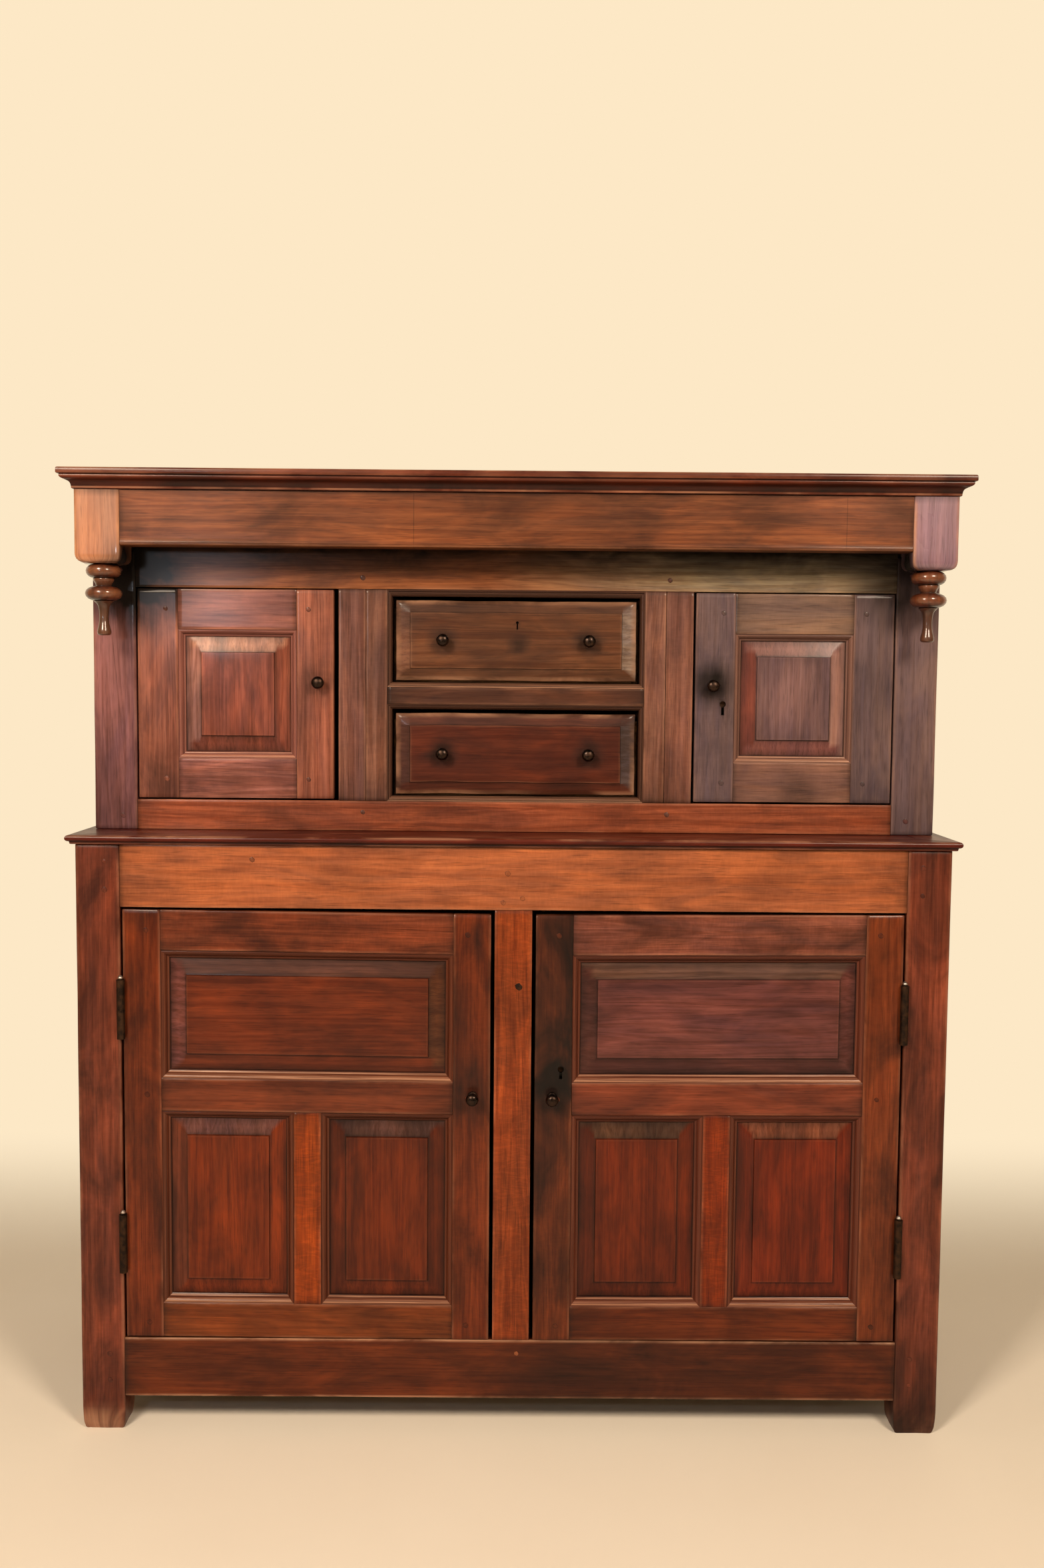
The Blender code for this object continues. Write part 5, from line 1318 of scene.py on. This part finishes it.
# The doors of each stage. Free and hung edges, knobs and keyholes are given for the right door, as
# distances from the middle. Trim is how far a door has shrunk at its free edge. Rails are Z spans
# with what sets their wood apart, stains are (x, z) places on the frame, hand dirt is (z, reach,
# amount) on the lock stile, and a keyhole is (x, z, radius, length).
DOORS = {
    "lower": SimpleNamespace(
        front=FRONT, thickness=0.024, free=0.036, hung=0.626, z=(0.158, 0.8585), stile=0.060,
        trim={"left": 0.0, "right": 0.0}, hung_wood={"fleck": 0.1, "step": 0.02}, free_fleck=0.15,
        rails={"head": ((0.7935, 0.8585), {"fleck": 0.2}), "rail": (MIDDLE_RAIL, {"step": 0.02}),
               "foot": ((0.158, 0.214), {})},
        muntin=0.044, moulding=0.013, bevel=0.027, peg_share=0.62, peg_z=(0.182, 0.559, 0.826),
        stains={"left": [], "right": []},
        hand_dirt={"left": [(0.575, 0.075, 0.75), (0.70, 0.10, 0.35), (0.82, 0.06, 0.3)],
                   "right": [(0.575, 0.085, 1.0), (0.68, 0.17, 1.05), (0.80, 0.13, 1.05),
                             (0.47, 0.12, 0.7), (0.32, 0.18, 0.6)]},
        knob=(0.064, 0.563), knob_reach=LOWER_KNOB_REACH, keyhole=(0.078, 0.606, 5.0 * MM, 16 * MM)),
    "upper": SimpleNamespace(
        front=UPPER_FRONT, thickness=0.022, free=0.295, hung=0.622, z=(1.0335, 1.3775), stile=0.066,
        trim={"left": 5 * MM, "right": 1 * MM}, hung_wood={"step": 0.012}, free_fleck=0.08,
        rails={"head": ((1.3115, 1.3775), {"fleck": 0.08, "step": 0.015}),
               "rail": ((1.0335, 1.0995), {"fleck": 0.08, "step": 0.015})},
        muntin=None, moulding=0.011, bevel=0.026, peg_share=0.7, peg_z=(1.0655, 1.3455),
        stains={"left": [(-0.585, 1.050), (-0.520, 1.066), (-0.470, 1.050)], "right": [(0.470, 1.045)]},
        hand_dirt={"left": [(1.2295, 0.045, 0.5)], "right": [(1.2295, 0.045, 1.1)]},
        knob=(0.324, 1.2255), knob_reach=UPPER_KNOB_REACH, keyhole=(0.342, 1.1955, 5.2 * MM, 18 * MM)),
}
# Reach and amount of the stains on a frame
FRAME_STAIN = (0.05, 0.45)
LOCK_STILE_STEP = 0.012
DOOR_JOINT_DIRT = 0.3
DOOR_MUNTIN_FLECK = 0.5
DOOR_SAG = 2.0 * MM
DOOR_RISE = 2.6 * MM


def lower_settle(side):
    """How an old lower door sags at its free edge and stands high at its hinges."""
    kind = DOORS["lower"]
    low, high = kind.z

    def settle(x, z):
        share = (kind.hung - side * x) / (kind.hung - kind.free)
        return DOOR_RISE * (1 - share) * (z - low) / (high - low) - DOOR_SAG * share

    return settle


def door_panels(kind, side):
    """Sight sizes of a door's panels, as (across, up, whether the grain stands upright)."""
    across = grow(span(side * kind.free, side * kind.hung), -kind.stile - kind.moulding)
    levels = sorted(z for z, _ in kind.rails.values())
    sights = [grow((low[1], high[0]), -kind.moulding) for low, high in zip(levels, levels[1:])]
    if not kind.muntin:
        return {"panel": (across, sights[0], True)}
    left, right = middle(sum(across) / 2, kind.muntin + 2 * kind.moulding)
    inner, outer = sorted([(across[0], left), (right, across[1])], reverse=side < 0)
    return {"wide_panel": (across, sights[1], False), "outer_panel": (outer, sights[0], True),
            "inner_panel": (inner, sights[0], True)}


def door(level, name, side):
    """Frame, lock stile, panels, knob and, on the right, the lock of one door."""
    kind = DOORS[level]
    body = f"{level}_door_{name}"
    tone = f"{level}_{name}"
    settle = lower_settle(side) if level == "lower" else None
    y = (kind.front, kind.front + kind.thickness)
    put = face_front(kind.front)
    free_end, hung_end = kind.free + kind.stile, kind.hung - kind.stile
    rail_x = span(side * free_end, side * hung_end)
    bm = new_piece()
    timber(bm, span(side * kind.hung, side * hung_end), y, kind.z, 2, tone + "_stile",
           dirt=DOOR_JOINT_DIRT, **kind.hung_wood)
    for part, (z, wood) in kind.rails.items():
        timber(bm, rail_x, y, z, 0, f"{tone}_{part}", **wood)
    if kind.muntin:
        muntin_z = (kind.rails["foot"][0][1], kind.rails["rail"][0][0])
        timber(bm, middle(sum(rail_x) / 2, kind.muntin), y, muntin_z, 2, tone + "_muntin",
               fleck=DOOR_MUNTIN_FLECK)
    for x, z in kind.stains[name]:
        stain_and_shade(bm, (x, kind.front, z), *FRAME_STAIN)
    panels = door_panels(kind, side)
    for across, up, _ in panels.values():
        moulding(bm, across, up, put, (kind.moulding,) * 4, MOULDING_DEPTH, tone + "_rail",
                 (GROOVE_END, kind.thickness))
    peg_inset = kind.stile * kind.peg_share
    peg_x = (side * (kind.free + peg_inset), side * (kind.hung - peg_inset))
    pegs(bm, [(x, z) for x in peg_x for z in kind.peg_z], kind.front, tone + "_stile")
    if level == "upper":
        # Painted shadow of the drop on the upper door
        stain_and_shade(bm, *drop_shadow(name))
    finish_piece(bm, body + "_joinery", [body + "_frame"], body, settle=settle)
    bm = new_piece()
    timber(bm, span(side * (kind.free + kind.trim[name]), side * free_end), y, kind.z, 2, tone + "_stile",
           dirt=DOOR_JOINT_DIRT, fleck=kind.free_fleck, step=LOCK_STILE_STEP)
    knob_x, knob_z = side * kind.knob[0], kind.knob[1]
    for height, reach, amount in kind.hand_dirt[name]:
        stain_and_shade(bm, (knob_x, kind.front, height), reach, amount)
    lock_stile = finish_piece(bm, body + "_lock_stile", body=body, settle=settle)
    if name == LOCKED_SIDE:
        key_x, key_z, radius, length = kind.keyhole
        keyhole(lock_stile, key_x, kind.front, key_z, radius, length, 2)
        bolt_way(lock_stile, f"{level}_lock_bolt")
        lock_plate(level, body, kind.front + kind.thickness)
    for place, (across, up, upright) in panels.items():
        bm = new_piece()
        sunk_panel(bm, across, up, put, kind.bevel, f"{tone}_{place}", upright)
        node = f"{body}_{place}"
        finish_piece(bm, node + "_fielded", [node], body, settle=settle)
    knob(body + "_knob", body, knob_x, kind.front, knob_z, kind.knob_reach, settle)


def irons():
    """Hinge leaves and lock bolts keep their CAD solids, with forged iron and eased edges."""
    for node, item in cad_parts.items():
        if node.startswith("hinge_") or node.endswith("_bolt"):
            item.data.materials.clear()
            item.data.materials.append(FORGED_IRON)
            ease = item.modifiers.new("forged_edges", "BEVEL")
            ease.width = 0.5 * MM
            ease.segments = 2


HINGE_AXIS = (0.628, FRONT - 6.8 * MM)
HINGE_TOPS = (0.364, 0.7485)
# Acorn on the tip of a hinge pin, as (radius, height over the barrel) in millimetres
ACORN = [(0.0, 0.8), (3.2, 0.8), (3.6, 1.6), (4.3, 2.6), (4.4, 3.6), (3.6, 5.0), (2.4, 6.4), (1.2, 7.4),
         (0.0, 7.8)]
ACORN_FACES = 20


def hinge_tips():
    """Rubbed acorns on the pins of the lower doors' hinges."""
    bm = new_piece()
    for side in SIDES.values():
        for top in HINGE_TOPS:
            turn(bm, bare_outline(ACORN, MM, MM), ACORN_FACES,
                 lambda h, p, q: (side * HINGE_AXIS[0] + p, HINGE_AXIS[1] + q, top + h), IRON_TONE)
    finish_piece(bm, "hinge_pin_acorns", material=RUBBED_IRON)


# Pegs through the joints of the two front frames: heights on the posts and the upper muntins, and
# single (x, z) places on the lower rails
POST_PEG_INSET = 0.024
LOWER_POST_PEGS = (0.084, 0.128, 0.893, 0.938)
UPPER_POST_PEGS = (1.004, 1.408)
MUNTIN_PEG_X = 0.252
MUNTIN_PEGS = (1.398, 1.012)
RAIL_PEGS = [(-0.418, 0.943), (-0.010, 0.924), (-0.017, 0.877), (0.014, 0.884), (0.010, 0.133)]
MUNTIN_PLUG = (0.009, 0.741)


def case_pegs():
    """Pegs of the two front frames, and the iron plug in the lower muntin."""
    bm = new_piece()
    for side in SIDES.values():
        for x, heights, front, tone in (
                (LOWER_POST_INNER + POST_PEG_INSET, LOWER_POST_PEGS, FRONT, "lower_post_left"),
                (UPPER_POST_INNER + POST_PEG_INSET, UPPER_POST_PEGS, UPPER_FRONT, "upper_post_left"),
                (MUNTIN_PEG_X, MUNTIN_PEGS, UPPER_FRONT, "upper_muntin")):
            pegs(bm, [(side * x, z) for z in heights], front, tone)
    pegs(bm, RAIL_PEGS, FRONT, "lower_top_rail")
    finish_piece(bm, "case_joint_pegs")
    bm = new_piece()
    pegs(bm, [MUNTIN_PLUG], FRONT, "lower_post_left", PLUG_RADIUS)
    finish_piece(bm, "muntin_plug", material=FORGED_IRON)


CAMERA_PLACE = (0.005, FRONT - 2.2, 1.220)
CAMERA_PITCH, CAMERA_YAW, CAMERA_ROLL = radians(3.97), radians(0.17), radians(0.49)
CAMERA_LENS, FILM_HEIGHT = 31.84, 36


def camera():
    """The photograph's view: 2.2 m before the front, a little above the ledge, tipped down."""
    view = bpy.data.cameras.new("photo_view")
    view.sensor_fit = "VERTICAL"
    view.sensor_height = FILM_HEIGHT
    view.lens = CAMERA_LENS
    item = bpy.data.objects.new("photo_view", view)
    turn_to = Matrix.Rotation(-CAMERA_YAW, 4, "Z") @ Matrix.Rotation(pi / 2 - CAMERA_PITCH, 4, "X")
    item.matrix_world = Matrix.Translation(CAMERA_PLACE) @ turn_to @ Matrix.Rotation(CAMERA_ROLL, 4, "Z")
    bpy.context.scene.collection.objects.link(item)
    bpy.context.scene.camera = item


def softbox(name, place, target, size, power, colour, spread):
    lamp = bpy.data.lights.new(name, "AREA")
    lamp.shape = "RECTANGLE"
    lamp.size, lamp.size_y = size
    lamp.energy = power
    lamp.spread = radians(spread)
    lamp.color = linear(colour)[:3]
    item = bpy.data.objects.new(name, lamp)
    item.location = place
    item.rotation_euler = (Vector(target) - Vector(place)).to_track_quat("-Z", "Y").to_euler()
    item.visible_camera = False
    bpy.context.scene.collection.objects.link(item)


# The round studio sweep, in metres, and where its backdrop begins and is full behind the cupboard
SWEEP_FLAT, SWEEP_RADIUS, SWEEP_COVE, SWEEP_HEIGHT = 2.0, 5.5, 1.2, 6.0
SWEEP_FACES, COVE_STEPS = 96, 12
BACKDROP_Y = (0.3, 1.3)
# Faint patches in the paint, a third of a metre wide
PAINT_PATCH_MM = 1000 / 3
# Softboxes, as (place, target, size, power, colour, spread in degrees)
SOFTBOXES = {
    "left_softbox": ((-1.45, -2.7, 2.62), (0.0, -0.2, 1.20), (0.7, 0.8), 90, "#ffe9d0", 180),
    "right_softbox": ((1.45, -2.7, 2.62), (0.0, -0.2, 1.20), (0.7, 0.8), 79, "#ffe9d0", 180),
    "window_glint": ((-1.03, -2.45, 1.47), (-0.5, UPPER_FRONT, 1.35), (0.20, 0.12), 4, "#eef4ff", 180),
    "wall_wash": ((0.0, 1.2, 2.7), (0.0, 5.2, 1.6), (3.0, 0.6), 84, "#fff0dc", 120),
}


def cream_paint():
    """Painted studio sweep: matt, pale cream, with the faintest roller mottling."""
    material, tree, shader = new_material("matt_cream_paint")
    place = add_node(tree, "TexCoord").outputs["Object"]
    mottle = add_node(tree, "TexNoise", {"Vector": place, "Scale": 1000 / PAINT_PATCH_MM, "Detail": 3.0})
    colour = add_node(tree, "Mix", {FACTOR: mottle, COLOUR_A: linear("#efe8da"),
                                    COLOUR_B: linear("#eae1d1")}, **LAID_OVER)
    set_sockets(tree, shader, {"Base Color": colour, "Roughness": 0.9, "Specular IOR Level": 0.1})
    # Far behind the cupboard the backdrop shows an even pale cream, without lighting anything
    ray = add_node(tree, "LightPath").outputs
    seen = add_node(tree, "Math", {0: ray["Is Camera Ray"], 1: ray["Is Glossy Ray"]}, operation="ADD")
    seen = add_node(tree, "Math", {0: seen, 1: ray["Is Transmission Ray"]}, operation="ADD", use_clamp=True)
    depth = add_node(tree, "SeparateXYZ", {0: place}).outputs["Y"]
    far = add_node(tree, "MapRange", {"Value": depth, "From Min": BACKDROP_Y[0], "From Max": BACKDROP_Y[1]},
                   interpolation_type="SMOOTHSTEP")
    share = add_node(tree, "Math", {0: seen, 1: far}, operation="MULTIPLY")
    cream = add_node(tree, "Emission", {"Color": linear("#fde8c6"), "Strength": 1.0})
    blend = add_node(tree, "MixShader", {0: share, 1: shader, 2: cream})
    set_sockets(tree, tree.nodes["Material Output"], {"Surface": blend})
    return material


def studio():
    """Round pale sweep, softboxes above and beside the camera, and a wash on the backdrop."""
    bm = bmesh.new()
    flat_end = SWEEP_RADIUS - SWEEP_COVE
    outline = [(0.0, 0.0), (SWEEP_FLAT, 0.0)]
    outline += [(flat_end + SWEEP_COVE * sin(angle), SWEEP_COVE - SWEEP_COVE * cos(angle))
                for angle in spaced(0.0, pi / 2, COVE_STEPS)]
    outline.append((SWEEP_RADIUS, SWEEP_HEIGHT))
    angles = spaced(0.0, 2 * pi, SWEEP_FACES)[:-1]
    skin(bm, [[bm.verts.new((r * cos(angle), r * sin(angle), h)) for angle in (angles if r else angles[:1])]
              for r, h in outline])
    mesh = bpy.data.meshes.new("studio_sweep")
    bm.to_mesh(mesh)
    bm.free()
    mesh.shade_smooth()
    mesh.materials.append(cream_paint())
    sweep_item = bpy.data.objects.new("studio_sweep", mesh)
    bpy.context.scene.collection.objects.link(sweep_item)
    for name, setting in SOFTBOXES.items():
        softbox(name, *setting)
    world = bpy.data.worlds.new("studio_air")
    world.use_nodes = True
    sky = world.node_tree.nodes["Background"]
    set_sockets(world.node_tree, sky, {"Color": linear("#f3e9da"), "Strength": 0.12})
    bpy.context.scene.world = world
    bpy.context.scene.view_settings.view_transform = "Standard"


def main():
    camera()
    studio()
    lower_frame()
    case_sides()
    insides()
    waist_ledge()
    cornice()
    frieze()
    pendants()
    upper_frame()
    drawer("top", (DRAWER_RAIL_TOP, DRAWER_HEAD))
    drawer("bottom", (DRAWER_SILL, DRAWER_RAIL_BOTTOM))
    for name, side in SIDES.items():
        for level in DOORS:
            door(level, name, side)
    case_pegs()
    hinge_tips()
    irons()


main()
